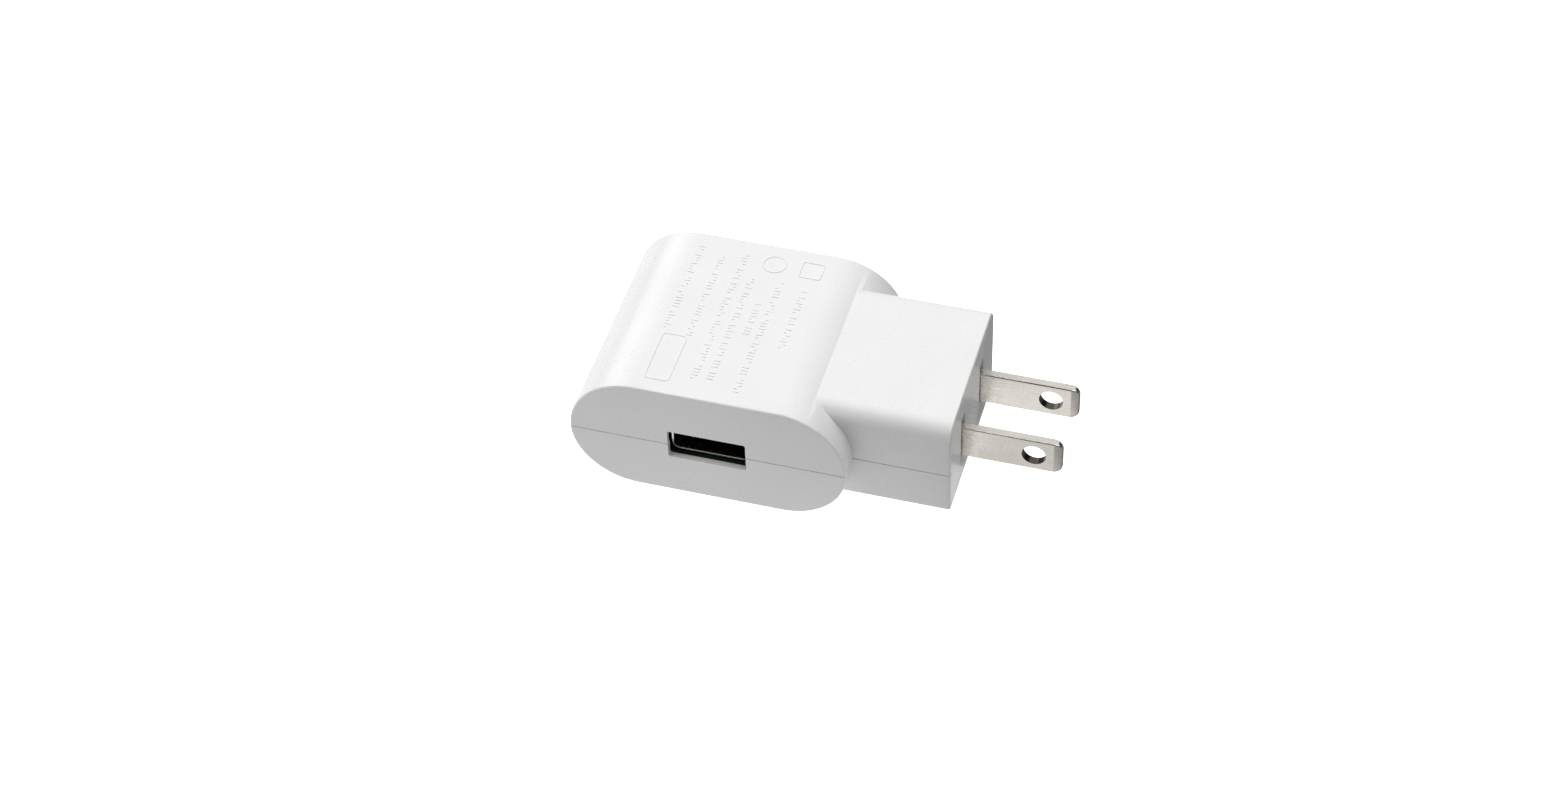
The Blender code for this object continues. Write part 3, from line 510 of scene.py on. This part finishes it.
def worked_metal(name, bright, dull, roughness, grain, depth=0.003 * MM):
    """Metal with fine lines along one axis and faint dull stains."""
    nodes = Nodes(name)
    lines = nodes.noise(1.0, 4.0, 0.6, nodes.stretched(grain))
    stains = nodes.span(nodes.noise(420, 4.0, 0.65), 0.38, 0.68)
    return nodes.set(
        Base_Color=nodes.blend(stains, bright, dull),
        Metallic=1.0,
        Roughness=nodes.span(lines, 0.3, 0.7, roughness - 0.08, roughness + 0.08),
        Normal=nodes.bump(lines, depth),
    )


# ---------------------------------------------------------------- materials


def white_plastic():
    """Moulded white plastic with a fine satin grain and a faint waviness."""
    nodes = Nodes("white_plastic")
    tone = nodes.span(nodes.noise(90, 2.0), 0.35, 0.65)
    grain = nodes.noise(5200, 2.0, 0.6)
    waves = nodes.noise(520, 1.0)
    return nodes.set(
        Base_Color=nodes.blend(tone, (0.712, 0.712, 0.709), (0.728, 0.728, 0.725)),
        Roughness=nodes.span(nodes.noise(2400, 3.0), 0.3, 0.7, 0.26, 0.34),
        Normal=nodes.bump(grain, 0.0005 * MM, nodes.bump(waves, 0.001 * MM)),
        IOR=1.5,
    )


def nickel():
    """Nickel-plated brass, rubbed along its length and mottled near the plug. The hole's inner wall
    is painted dark as painted shade.
    """
    nodes = Nodes("nickel")
    streaks = nodes.noise(1.0, 4.0, 0.6, nodes.stretched((160, 900, 2600)))
    stains = nodes.span(nodes.noise(300, 5.0, 0.65), 0.36, 0.66)
    mottle = nodes.noise(1500, 4.0, 0.7)
    near_root = nodes.span(nodes.along("X"), PLUG_X + 7 * MM, PLUG_X)
    patches = nodes.add("ShaderNodeMath", operation="MULTIPLY", use_clamp=True)
    nodes.link(nodes.span(mottle, 0.45, 0.62), patches.inputs[0])
    nodes.link(near_root, patches.inputs[1])
    clean = nodes.blend(stains, (0.780, 0.750, 0.700), (0.715, 0.680, 0.620))
    plated = nodes.blend(patches.outputs[0], clean, (0.620, 0.585, 0.520))
    from_hole = nodes.from_line(BLADE_HOLE_X, BLADE_Z)
    # Painted shade: the inner wall of the hole is coloured near black, for the shade inside it.
    hole_shade = nodes.span(from_hole, BLADE_HOLE_RADIUS + 0.04 * MM, BLADE_HOLE_RADIUS)
    rough = nodes.span(streaks, 0.3, 0.7, 0.20, 0.34)
    return nodes.set(
        Base_Color=nodes.blend(hole_shade, plated, (0.110, 0.100, 0.085)),
        Metallic=1.0,
        Roughness=rough,
        Normal=nodes.bump(mottle, 0.003 * MM, nodes.bump(streaks, 0.0015 * MM)),
    )


def board_green():
    """Green solder mask with copper tracks under it, and a glass fibre edge. Both are darkened to
    near black as painted shade.
    """
    nodes = Nodes("board_green")
    tracks = nodes.add("ShaderNodeTexBrick", offset=0.35, squash=1.6, squash_frequency=3)
    tracks.inputs["Scale"].default_value = 260
    tracks.inputs["Mortar Size"].default_value = 0.05
    tracks.inputs["Color1"].default_value = (0.0, 0.0, 0.0, 1.0)
    tracks.inputs["Color2"].default_value = (0.0, 0.0, 0.0, 1.0)
    tracks.inputs["Mortar"].default_value = (1.0, 1.0, 1.0, 1.0)
    nodes.link(nodes.place, tracks.inputs["Vector"])
    # Painted shade: the solder mask greens are far darker than a board's own, standing in for the
    # shade under the housing.
    face = nodes.blend(tracks.outputs["Color"], (0.004, 0.020, 0.009), (0.010, 0.042, 0.018))
    side = nodes.span(nodes.facing("Z"), 0.6, 0.4)
    weave = nodes.noise(2600, 2.0)
    # Painted shade: the glass fibre edge is a dark olive, not its own pale tone.
    fibre = nodes.blend(weave, (0.040, 0.042, 0.022), (0.065, 0.064, 0.036))
    return nodes.set(
        Base_Color=nodes.blend(side, face, fibre),
        Roughness=nodes.span(weave, 0.3, 0.7, 0.30, 0.45),
        Normal=nodes.bump(tracks.outputs["Color"], 0.02 * MM),
    )


def ferrite():
    """Sintered ferrite: dark grey with bright specks."""
    nodes = Nodes("ferrite")
    specks = nodes.span(nodes.noise(6000, 2.0), 0.66, 0.72)
    pits = nodes.noise(1800, 4.0, 0.7)
    return nodes.set(
        Base_Color=nodes.blend(specks, (0.045, 0.045, 0.050), (0.160, 0.160, 0.165)),
        Roughness=nodes.span(pits, 0.3, 0.7, 0.45, 0.70),
        Normal=nodes.bump(pits, 0.02 * MM),
    )


def tape_yellow():
    """Layers of polyester tape, whose edges show as fine lines."""
    nodes = Nodes("tape_yellow")
    layers = nodes.bands("Y", 0.35 * MM, 0.6)
    creases = nodes.noise(700, 3.0)
    return nodes.set(
        Base_Color=nodes.blend(layers, (0.700, 0.470, 0.035), (0.820, 0.590, 0.075)),
        Roughness=nodes.span(creases, 0.3, 0.7, 0.22, 0.42),
        Normal=nodes.bump(creases, 0.03 * MM, nodes.bump(layers, 0.01 * MM)),
    )


def copper_wire():
    """Enamelled copper wire wound in close turns."""
    nodes = Nodes("copper_wire")
    turns = nodes.bands("Z", 0.30 * MM)
    tone = nodes.noise(500, 3.0)
    return nodes.set(
        Base_Color=nodes.blend(tone, (0.560, 0.210, 0.090), (0.740, 0.330, 0.150)),
        Metallic=1.0,
        Roughness=nodes.span(tone, 0.3, 0.7, 0.22, 0.38),
        Normal=nodes.bump(turns, 0.06 * MM),
    )


def capacitor_sleeve():
    """A shrunk sleeve with a pale stripe, and bare metal at the top and on the leads."""
    nodes = Nodes("capacitor_sleeve")
    stripe = nodes.add("ShaderNodeTexVoronoi", feature="F1")
    stripe.inputs["Scale"].default_value = 120
    nodes.link(nodes.stretched((1.0, 1.0, 0.0)), stripe.inputs["Vector"])
    pale = nodes.span(stripe.outputs["Distance"], 0.62, 0.66)
    wear = nodes.noise(900, 3.0)
    sleeve = nodes.blend(pale, (0.016, 0.021, 0.055), (0.260, 0.280, 0.330))
    top = nodes.span(nodes.facing("Z"), 0.85, 0.95)
    leads = nodes.span(nodes.along("Z"), BOARD_HIGH.z + 0.1 * MM, BOARD_HIGH.z)
    metal = nodes.add("ShaderNodeMath", operation="MAXIMUM")
    nodes.link(top, metal.inputs[0])
    nodes.link(leads, metal.inputs[1])
    bare = nodes.blend(wear, (0.560, 0.560, 0.570), (0.680, 0.680, 0.690))
    return nodes.set(
        Base_Color=nodes.blend(metal.outputs[0], sleeve, bare),
        Metallic=metal.outputs[0],
        Roughness=nodes.span(wear, 0.3, 0.7, 0.24, 0.36),
        Normal=nodes.bump(wear, 0.01 * MM),
    )


def disc_blue():
    """A thick dipped coat of blue epoxy."""
    nodes = Nodes("disc_blue")
    lumps = nodes.noise(380, 2.0)
    leads = nodes.span(nodes.along("Z"), BOARD_HIGH.z + 1.0 * MM, BOARD_HIGH.z + 0.6 * MM)
    coat = nodes.blend(lumps, (0.020, 0.085, 0.330), (0.030, 0.130, 0.440))
    return nodes.set(
        Base_Color=nodes.blend(leads, coat, (0.600, 0.600, 0.600)),
        Metallic=leads,
        Roughness=nodes.span(lumps, 0.3, 0.7, 0.16, 0.28),
        Normal=nodes.bump(lumps, 0.08 * MM),
    )


def build_materials():
    """Every slot of the record has its own material."""
    steel_grain = (2400, 200, 2400)
    wire_grain = (2200, 2200, 300)
    return {
        "white_plastic": white_plastic(),
        "nickel": nickel(),
        "shell_steel": worked_metal(
            "shell_steel", (0.66, 0.66, 0.66), (0.58, 0.58, 0.58), 0.22, steel_grain
        ),
        "contact_gold": worked_metal(
            "contact_gold", (0.83, 0.62, 0.28), (0.74, 0.53, 0.22), 0.22, steel_grain
        ),
        "black_plastic": moulded("black_plastic", (0.006, 0.006, 0.006), (0.010, 0.010, 0.010), 0.5),
        "board_green": board_green(),
        "ferrite": ferrite(),
        "tape_yellow": tape_yellow(),
        "copper_wire": copper_wire(),
        "capacitor_sleeve": capacitor_sleeve(),
        "resistor_body": moulded("resistor_body", (0.13, 0.27, 0.31), (0.18, 0.34, 0.38), 0.45),
        "shrink_sleeve": moulded("shrink_sleeve", (0.014, 0.014, 0.014), (0.024, 0.024, 0.024), 0.48),
        "disc_blue": disc_blue(),
        "chip_black": moulded("chip_black", (0.015, 0.015, 0.015), (0.030, 0.030, 0.030), 0.55),
        "chip_tan": moulded("chip_tan", (0.38, 0.26, 0.15), (0.47, 0.33, 0.20), 0.50),
        "tinned_wire": worked_metal(
            "tinned_wire", (0.66, 0.66, 0.66), (0.55, 0.55, 0.55), 0.32, wire_grain
        ),
        "red_insulation": moulded("red_insulation", (0.42, 0.020, 0.015), (0.50, 0.030, 0.020), 0.40),
    }


MATERIALS = build_materials()


# ---------------------------------------------------------------- raised marks on the top

MARK_HEIGHT = 0.08 * MM
MARK_SLOPE = 0.05 * MM
MARK_ROOT = 0.2 * MM
TICK_LENGTH = 1.15 * MM
TICK_WIDTH = 0.24 * MM
TICK_PITCH = 0.72 * MM
TICK_RADIUS = 0.05 * MM
TICK_STEPS = 2
HALF_TICK_CHANCE = 0.25
TICKS_IN_GROUP = (3, 7)
MARK_SEED = 12
FRAME_STROKE = 0.3 * MM
FRAME_STEPS = 8

# Rows of ticks as (offset from the body's middle, first y, last y), in millimetres.
MARK_ROWS = (
    (-10.9, -4.4, 16.2),
    (-6.8, -5.4, 14.8),
    (-3.1, -14.8, 15.8),
    (-0.5, -14.4, 10.2),
    (2.2, -2.8, 5.0),
    (4.4, -16.2, 10.6),
    (8.7, -4.5, 9.6),
)
# Plain frames as (offset, middle y, width, depth, corner radius), in millimetres.
MARK_FRAMES = (
    (-8.9, -11.1, 4.4, 11.0, 0.8),
    (8.6, 14.6, 4.0, 4.0, 0.5),
    (2.2, 14.6, 4.2, 4.2, 2.1),
)


def add_bar(shape, low_x, low_y, high_x, high_y):
    """A low bar that stands on the top face, with sloping sides."""
    centre = ((low_x + high_x) / 2, (low_y + high_y) / 2)
    rings = []
    for z, spread in ((TOP_Z - MARK_HEIGHT - MARK_ROOT, MARK_SLOPE), (TOP_Z, -MARK_SLOPE)):
        width = high_x - low_x + 2 * spread
        depth = high_y - low_y + 2 * spread
        outline = centred_rectangle(centre, width, depth, TICK_RADIUS, TICK_STEPS)
        rings.append(placed(outline, "Z", z))
    add_loft(shape, rings)


def add_frame(shape, centre, width, depth, radius):
    """A low ridge along a rounded rectangle, with sloping sides."""
    base_z = TOP_Z - MARK_HEIGHT - MARK_ROOT
    rings = []
    for inset, z in (
        (-MARK_SLOPE, base_z),
        (MARK_SLOPE, TOP_Z),
        (FRAME_STROKE - MARK_SLOPE, TOP_Z),
        (FRAME_STROKE + MARK_SLOPE, base_z),
    ):
        size = (width - 2 * inset, depth - 2 * inset)
        outline = centred_rectangle(centre, *size, radius - inset, FRAME_STEPS)
        rings.append(placed(outline, "Z", z))
    add_loft(shape, rings, closed=True)


def add_row_of_ticks(shape, x, start, end, chance):
    """Plain ticks in groups, like those of a worn scale: long ones and half ones."""
    y = start
    until_space = chance.randint(*TICKS_IN_GROUP)
    while y < end:
        low = x - TICK_LENGTH / 2
        high = x + TICK_LENGTH / 2
        kind = chance.random()
        if kind < HALF_TICK_CHANCE:
            low = x
        elif kind < 2 * HALF_TICK_CHANCE:
            high = x
        add_bar(shape, low, y, high, y + TICK_WIDTH)
        y += TICK_PITCH
        until_space -= 1
        if until_space == 0:
            y += TICK_PITCH
            until_space = chance.randint(*TICKS_IN_GROUP)


def build_marks():
    """Plain raised marks, where such a charger has its moulded lettering."""
    shape = bmesh.new()
    chance = random.Random(MARK_SEED)
    for offset, start, end in MARK_ROWS:
        add_row_of_ticks(shape, BODY_X + offset * MM, start * MM, end * MM, chance)
    for offset, y, width, depth, radius in MARK_FRAMES:
        centre = (BODY_X + offset * MM, y * MM)
        add_frame(shape, centre, width * MM, depth * MM, radius * MM)
    return add_object("marks", shape)


# ---------------------------------------------------------------- housings


def outer_skin(name):
    """The outside of the whole housing: the body and the snout as one solid."""
    body = loft(
        name,
        [
            placed(body_outline(inset, TOP_Z - MARK_HEIGHT), "Y", y)
            for y, inset in rim_sections(FRONT_Y, BACK_Y, BODY_RIM_RADIUS, BODY_RIM_RADIUS)
        ],
    )
    snout = loft(
        f"{name}_snout",
        [
            placed(snout_outline(inset), "X", x)
            for x, inset in rim_sections(BODY_X, PLUG_X, SNOUT_RIM_RADIUS, SNOUT_RIM_RADIUS)
        ],
    )
    return join(body, snout)


def add_draft(half):
    """Leans the front, the back and the snout's sides in, away from the seam, as mould draft."""
    for vertex in half.data.vertices:
        lean = DRAFT * abs(vertex.co.z - SEAM_Z)
        vertex.co.y *= 1 - lean / BACK_Y


def hollows():
    """Tools for the inside, the seat of the plug plate and the port opening."""
    port = centred_rectangle((BODY_X, SEAM_Z), PORT_WIDTH, PORT_HEIGHT, PORT_RADIUS)
    seat_x = PLUG_X - PLATE_THICKNESS - CLEARANCE
    open_end = PLUG_X + OVERCUT
    inside = body_outline(WALL, TOP_Z)
    return (
        prism("body_hollow", inside, "Y", FRONT_Y + PORT_WALL, BACK_Y - WALL),
        prism("snout_hollow", snout_outline(WALL), "X", BODY_X, open_end),
        prism("plate_seat", snout_outline(RIM), "X", seat_x, open_end),
        prism("port_opening", port, "Y", FRONT_Y - OVERCUT, FRONT_Y + WALL + OVERCUT),
    )


def four_corners(offset):
    return [
        (BODY_X + side * offset[0], end * offset[1]) for side in (-1, 1) for end in (-1, 1)
    ]


def board_posts():
    """Four posts that the circuit board rests on."""
    half = POST_HALF_WIDTH
    top = BOARD_LOW.z - CLEARANCE
    return [
        block("board_post", (x - half, y - half, POST_BOTTOM), (x + half, y + half, top))
        for x, y in four_corners(POST_OFFSET)
    ]


def hold_down_ribs():
    """Four ribs under the top that keep the circuit board down."""
    across, along = RIB_HALF_SIZE
    bottom = BOARD_HIGH.z + CLEARANCE
    return [
        block("rib", (x - across, y - along, bottom), (x + across, y + along, RIB_TOP))
        for x, y in four_corners(RIB_OFFSET)
    ]


def round_openings(housing):
    """Softens the edges of the port opening and of the plug plate's seat."""
    margin = 2 * PORT_RADIUS

    def at_port(point):
        near_x = abs(point.x - BODY_X) < PORT_WIDTH / 2 + margin
        near_z = abs(point.z - SEAM_Z) < PORT_HEIGHT / 2 + margin
        return near_x and near_z and point.y < FRONT_Y + PORT_WALL / 2

    round_edges(housing, PORT_ROUNDING, at_port)
    round_edges(housing, SEAM_ROUNDING, on_plane("X", PLUG_X))


def build_lower_housing():
    seam = SEAM_Z - SEAM_GAP / 2
    lower = outer_skin("lower_shell")
    cut(lower, block("above_seam", (-FAR, -FAR, seam), (FAR, FAR, FAR)))
    round_edges(lower, SEAM_ROUNDING, on_plane("Z", seam))
    add_draft(lower)
    lip = prism("lip", plan_outline(LIP_INSET), "Z", seam - OVERCUT, SEAM_Z + LIP_HEIGHT)
    cut(lip, block("lip_end", (PLUG_X - RIM, -FAR, -FAR), (FAR, FAR, FAR)))
    join(lower, lip)
    cut(lower, *hollows())
    join(lower, *board_posts())
    round_openings(lower)
    place(lower, "lower_housing", "white_plastic")


def build_upper_housing():
    seam = SEAM_Z + SEAM_GAP / 2
    upper = outer_skin("upper_shell")
    join(upper, build_marks())
    cut(upper, block("below_seam", (-FAR, -FAR, -FAR), (FAR, FAR, seam)))
    round_edges(upper, SEAM_ROUNDING, on_plane("Z", seam))
    add_draft(upper)
    rebate_top = SEAM_Z + LIP_HEIGHT + CLEARANCE
    rebate = plan_outline(LIP_INSET - CLEARANCE)
    cut(upper, prism("lip_rebate", rebate, "Z", SEAM_Z - OVERCUT, rebate_top), *hollows())
    join(upper, *hold_down_ribs())
    round_openings(upper)
    place(upper, "upper_housing", "white_plastic")


# ---------------------------------------------------------------- plug


def build_plug_plate():
    """The end plate, with a recess and a close passage round each blade."""
    inner_x = PLUG_X - PLATE_THICKNESS
    out = PLUG_X + OVERCUT
    sections = rim_sections(inner_x, PLUG_X, PLATE_ROUNDING, PLATE_ROUNDING)
    plate = loft(
        "end_plate",
        [placed(snout_outline(RIM + PLATE_JOINT + inset), "X", x) for x, inset in sections],
    )
    passage_width = BLADE_THICKNESS + 2 * BLADE_FIT
    passage_height = BLADE_HEIGHT + 2 * BLADE_FIT
    for side in (-1, 1):
        centre = (side * BLADE_Y, BLADE_Z)
        boss = centred_rectangle(centre, BOSS_WIDTH, BOSS_HEIGHT, RECESS_RADIUS)
        recess = centred_rectangle(centre, RECESS_WIDTH, RECESS_HEIGHT, RECESS_RADIUS)
        passage = centred_rectangle(centre, passage_width, passage_height, BLADE_FIT)
        join(plate, prism("boss", boss, "X", PLATE_LOW.x, inner_x + CLEARANCE))
        cut(plate, prism("recess", recess, "X", PLUG_X - RECESS_DEPTH, out))
        round_edges(plate, BLADE_FIT, on_plane("X", PLUG_X))
        cut(plate, prism("passage", passage, "X", PLATE_LOW.x - OVERCUT, out))
    place(plate, "plug_end_plate", "white_plastic")


def blade_outline():
    """A blade seen from the side: a narrow tail, a shoulder and a tip with rounded corners."""
    top = BLADE_HEIGHT / 2
    tip_centre = (BLADE_HIGH.x - BLADE_TIP_RADIUS, top - BLADE_TIP_RADIUS)
    upper = arc(tip_centre, BLADE_TIP_RADIUS, 0, CORNER_STEPS)
    upper += [
        (BLADE_SHOULDER_X, top),
        (BLADE_SHOULDER_X, BLADE_TAIL_HEIGHT / 2),
        (BLADE_LOW.x, BLADE_TAIL_HEIGHT / 2),
    ]
    lower = [(x, -z) for x, z in reversed(upper)]
    return [(x, BLADE_Z + z) for x, z in upper + lower]


def build_blade(side, name, node):
    """A stamped blade with a bevelled tip, softened edges and a countersunk hole."""
    y = side * BLADE_Y
    half = BLADE_THICKNESS / 2
    chamfer_x = BLADE_HIGH.x - BLADE_CHAMFER_LENGTH
    slope = BLADE_CHAMFER_DEPTH / BLADE_CHAMFER_LENGTH
    at_end = half - slope * (BLADE_CHAMFER_LENGTH + OVERCUT)
    blade = prism(name, blade_outline(), "Y", y - half, y + half)
    for face in (-1, 1):
        wedge = [
            (chamfer_x, y + face * half),
            (BLADE_HIGH.x + OVERCUT, y + face * at_end),
            (BLADE_HIGH.x + OVERCUT, y + face * BLADE_THICKNESS),
            (chamfer_x, y + face * BLADE_THICKNESS),
        ]
        cut(blade, prism("wedge", wedge, "Z", BLADE_Z - BLADE_HEIGHT, BLADE_Z + BLADE_HEIGHT))
    round_edges(blade, BLADE_ROUNDING, segments=BLADE_EDGE_STEPS)
    hole = circle((BLADE_HOLE_X, BLADE_Z), BLADE_HOLE_RADIUS)
    cut(blade, prism("hole", hole, "Y", y - BLADE_THICKNESS, y + BLADE_THICKNESS))
    for face in (-1, 1):
        round_edges(blade, BLADE_ROUNDING, at_hole_edge(y + face * half), segments=BLADE_EDGE_STEPS)
    place(blade, node, "nickel", BLADE_SHARP_ANGLE)


def at_hole_edge(face_y):
    """A test for points on the rim of a blade's hole."""

    def test(point):
        from_centre = math.hypot(point.x - BLADE_HOLE_X, point.z - BLADE_Z)
        near_rim = abs(from_centre - BLADE_HOLE_RADIUS) < HOLE_EDGE_REACH
        return near_rim and on_plane("Y", face_y)(point)

    return test


# ---------------------------------------------------------------- USB socket


def build_usb_shell():
    """The folded steel shell, with a lead-in round its mouth, springs and legs."""
    centre = (BODY_X, SEAM_Z)
    width = SHELL_HIGH.x - SHELL_LOW.x
    outside = rim_sections(SHELL_FRONT_Y, SHELL_BACK_Y, SHELL_ROUNDING, SHELL_ROUNDING)
    shell = shell_loft("socket_shell", centre, width, outside)
    mouth = (
        (SHELL_FRONT_Y - OVERCUT, 2 * SHELL_ROUNDING),
        (SHELL_FRONT_Y, 2 * SHELL_ROUNDING),
        (SHELL_FRONT_Y + SHELL_LEAD_IN, SHELL_WALL),
        (SHELL_BACK_Y + OVERCUT, SHELL_WALL),
    )
    cut(shell, shell_loft("mouth", centre, width, mouth))
    for side in (-1, 1):
        cut_spring(shell, BODY_X + side * width / 4)
        for offset in LEG_OFFSETS:
            y = SHELL_LOW.y + offset
            x = BODY_X + side * (width - SHELL_WALL) / 2
            half = SHELL_WALL / 2
            low = (x - half, y - LEG_WIDTH / 2, SHELL_LOW.z)
            join(shell, block("leg", low, (x + half, y + LEG_WIDTH / 2, SEAM_Z)))
    place(shell, "usb_shell", "shell_steel")


def shell_loft(name, centre, width, sections):
    """The shell's section along Y, with an inset at each (position, inset) pair."""
    rings = []
    for y, inset in sections:
        size = (width - 2 * inset, SHELL_HEIGHT - 2 * inset)
        rings.append(placed(centred_rectangle(centre, *size, SHELL_RADIUS - inset), "Y", y))
    return loft(name, rings)


def cut_spring(shell, x):
    """Slits on three sides of a spring finger, through the top and the bottom of the shell."""
    front = SHELL_LOW.y + SPRING_FRONT
    back = SHELL_LOW.y + SPRING_BACK
    low_z = SEAM_Z - SHELL_HEIGHT
    high_z = SEAM_Z + SHELL_HEIGHT
    left = x - SPRING_WIDTH / 2
    right = x + SPRING_WIDTH / 2
    slits = (
        ((left, front), (left + SPRING_SLIT, back)),
        ((right - SPRING_SLIT, front), (right, back)),
        ((left, back - SPRING_SLIT), (right, back)),
    )
    for low, high in slits:
        cut(shell, block("slit", (*low, low_z), (*high, high_z)))


# ---------------------------------------------------------------- pieces carried over from the CAD

EDGE_WIDTHS = {
    "ferrite": 0.15 * MM,
    "black_plastic": 0.06 * MM,
    "chip_black": 0.06 * MM,
    "chip_tan": 0.05 * MM,
    "tape_yellow": 0.10 * MM,
    "board_green": 0.03 * MM,
}


def dress_carried_pieces():
    """Gives each CAD node that still shows its material, and worn edges to those whose slot has an
    edge width.
    """
    for node in NODES.values():
        if node.hide_render:
            continue
        slot = node.data.materials[0].name
        node.data.materials[0] = MATERIALS[slot]
        if slot in EDGE_WIDTHS:
            bevel = node.modifiers.new("worn edges", "BEVEL")
            bevel.width = EDGE_WIDTHS[slot]
            bevel.segments = 2
            bevel.limit_method = "ANGLE"
            bevel.angle_limit = SHARP_ANGLE
            bevel.harden_normals = True


# ---------------------------------------------------------------- floor, light and camera

CAMERA_AZIMUTH = math.radians(17.69)
CAMERA_ELEVATION = math.radians(45.40)
CAMERA_ROLL = math.radians(-2.35)
CAMERA_DISTANCE = 514.9 * MM
CAMERA_TARGET = Vector((-9.25 * MM, 1.0 * MM, 6.56 * MM))
CAMERA_LENS = 70.76
SENSOR_WIDTH = 36.0


def add_camera():
    back = Vector(
        (
            math.sin(CAMERA_AZIMUTH) * math.cos(CAMERA_ELEVATION),
            -math.cos(CAMERA_AZIMUTH) * math.cos(CAMERA_ELEVATION),
            math.sin(CAMERA_ELEVATION),
        )
    )
    camera = bpy.data.objects.new("camera", bpy.data.cameras.new("camera"))
    bpy.context.scene.collection.objects.link(camera)
    camera.data.lens = CAMERA_LENS
    camera.data.sensor_width = SENSOR_WIDTH
    camera.data.clip_start = 10 * MM
    camera.location = CAMERA_TARGET + back * CAMERA_DISTANCE
    level = back.to_track_quat("Z", "Y").to_matrix().to_4x4()
    camera.rotation_euler = (level @ Matrix.Rotation(CAMERA_ROLL, 4, "Z")).to_euler()
    bpy.context.scene.camera = camera


# Soft boxes as (name, azimuth, elevation, size, power). Azimuth 0 is +X and 90 is +Y, in degrees.
SOFT_BOXES = (
    ("right_box", 0, 60, 1.2, 11.2),
    ("left_box", 180, 55, 1.0, 13.9),
    ("back_box", 90, 42, 1.3, 4.4),
    ("low_back_box", 135, 25, 0.6, 2.5),
)
SOFT_BOX_DISTANCE = 1.3

# The floor is a light table in five panels, as (name, low corner, high corner, glow). The two
# panels in front of the blades' sides shine more than the others on the right.
TABLE_REACH = 0.5
PANEL_TIP_X = BLADE_HIGH.x + 2.6 * MM
PANEL_FRONT_Y = -11.5 * MM
TABLE_PANELS = (
    ("table_body", (-TABLE_REACH, -TABLE_REACH), (PLUG_X, TABLE_REACH), 1.13),
    ("table_right", (PANEL_TIP_X, -TABLE_REACH), (TABLE_REACH, TABLE_REACH), 0.23),
    ("table_back", (PLUG_X, 0.0), (PANEL_TIP_X, TABLE_REACH), 0.23),
    ("table_front", (PLUG_X, -TABLE_REACH), (PANEL_TIP_X, PANEL_FRONT_Y), 0.75),
    ("table_middle", (PLUG_X, PANEL_FRONT_Y), (PANEL_TIP_X, 0.0), 1.00),
)
FLOOR_TOP = -0.05 * MM
FLOOR_THICKNESS = 1.0 * MM
FLOOR_REACH = 3.0


def add_soft_box(name, azimuth, elevation, size, power):
    """A square soft box that faces the charger."""
    data = bpy.data.lights.new(name, "AREA")
    data.shape = "SQUARE"
    data.size = size
    data.energy = power
    light = bpy.data.objects.new(name, data)
    bpy.context.scene.collection.objects.link(light)
    turn = math.radians(azimuth)
    rise = math.radians(elevation)
    level = math.cos(rise)
    away = Vector((level * math.cos(turn), level * math.sin(turn), math.sin(rise)))
    light.location = away * SOFT_BOX_DISTANCE
    light.rotation_euler = away.to_track_quat("Z", "Y").to_euler()


def add_table_panel(name, low, high, glow):
    """A soft box under the floor that shines up, as bright as a white floor in full light."""
    width = high[0] - low[0]
    depth = high[1] - low[1]
    data = bpy.data.lights.new(name, "AREA")
    data.shape = "RECTANGLE"
    data.size = width
    data.size_y = depth
    data.energy = glow * math.pi * width * depth
    light = bpy.data.objects.new(name, data)
    bpy.context.scene.collection.objects.link(light)
    middle = ((low[0] + high[0]) / 2, (low[1] + high[1]) / 2)
    light.location = (*middle, FLOOR_TOP - 2 * FLOOR_THICKNESS)
    light.rotation_euler = (math.pi, 0, 0)


def add_studio():
    scene = bpy.context.scene
    scene.view_settings.view_transform = "Standard"
    world = bpy.data.worlds.new("studio")
    world.use_nodes = True
    background = world.node_tree.nodes["Background"]
    background.inputs["Color"].default_value = (1.0, 1.0, 1.0, 1.0)
    background.inputs["Strength"].default_value = 1.0
    world.cycles_visibility.diffuse = False
    world.cycles_visibility.glossy = False
    scene.world = world
    for box in SOFT_BOXES:
        add_soft_box(*box)
    for panel in TABLE_PANELS:
        add_table_panel(*panel)


def add_floor():
    """A plain white floor. Light from the soft boxes under it comes straight through."""
    nodes = Nodes("studio_floor")
    tone = nodes.span(nodes.noise(12, 2.0), 0.4, 0.6)
    colour = nodes.blend(tone, (0.90, 0.90, 0.90), (0.92, 0.92, 0.92))
    white = (1.0, 1.0, 1.0, 1.0)
    low = (-FLOOR_REACH, -FLOOR_REACH, FLOOR_TOP - FLOOR_THICKNESS)
    floor = block("floor", low, (FLOOR_REACH, FLOOR_REACH, FLOOR_TOP))
    dress(
        floor,
        nodes.set(Base_Color=colour, Roughness=0.9, Emission_Color=white, Emission_Strength=1.0),
    )
    floor.visible_diffuse = False
    floor.visible_glossy = False
    floor.visible_shadow = False


# ---------------------------------------------------------------- putting it together


build_lower_housing()
build_upper_housing()
build_plug_plate()
build_blade(-1, "blade_front", "plug_blade_front")
build_blade(1, "blade_rear", "plug_blade_rear")
build_usb_shell()
dress_carried_pieces()
add_camera()
add_studio()
add_floor()
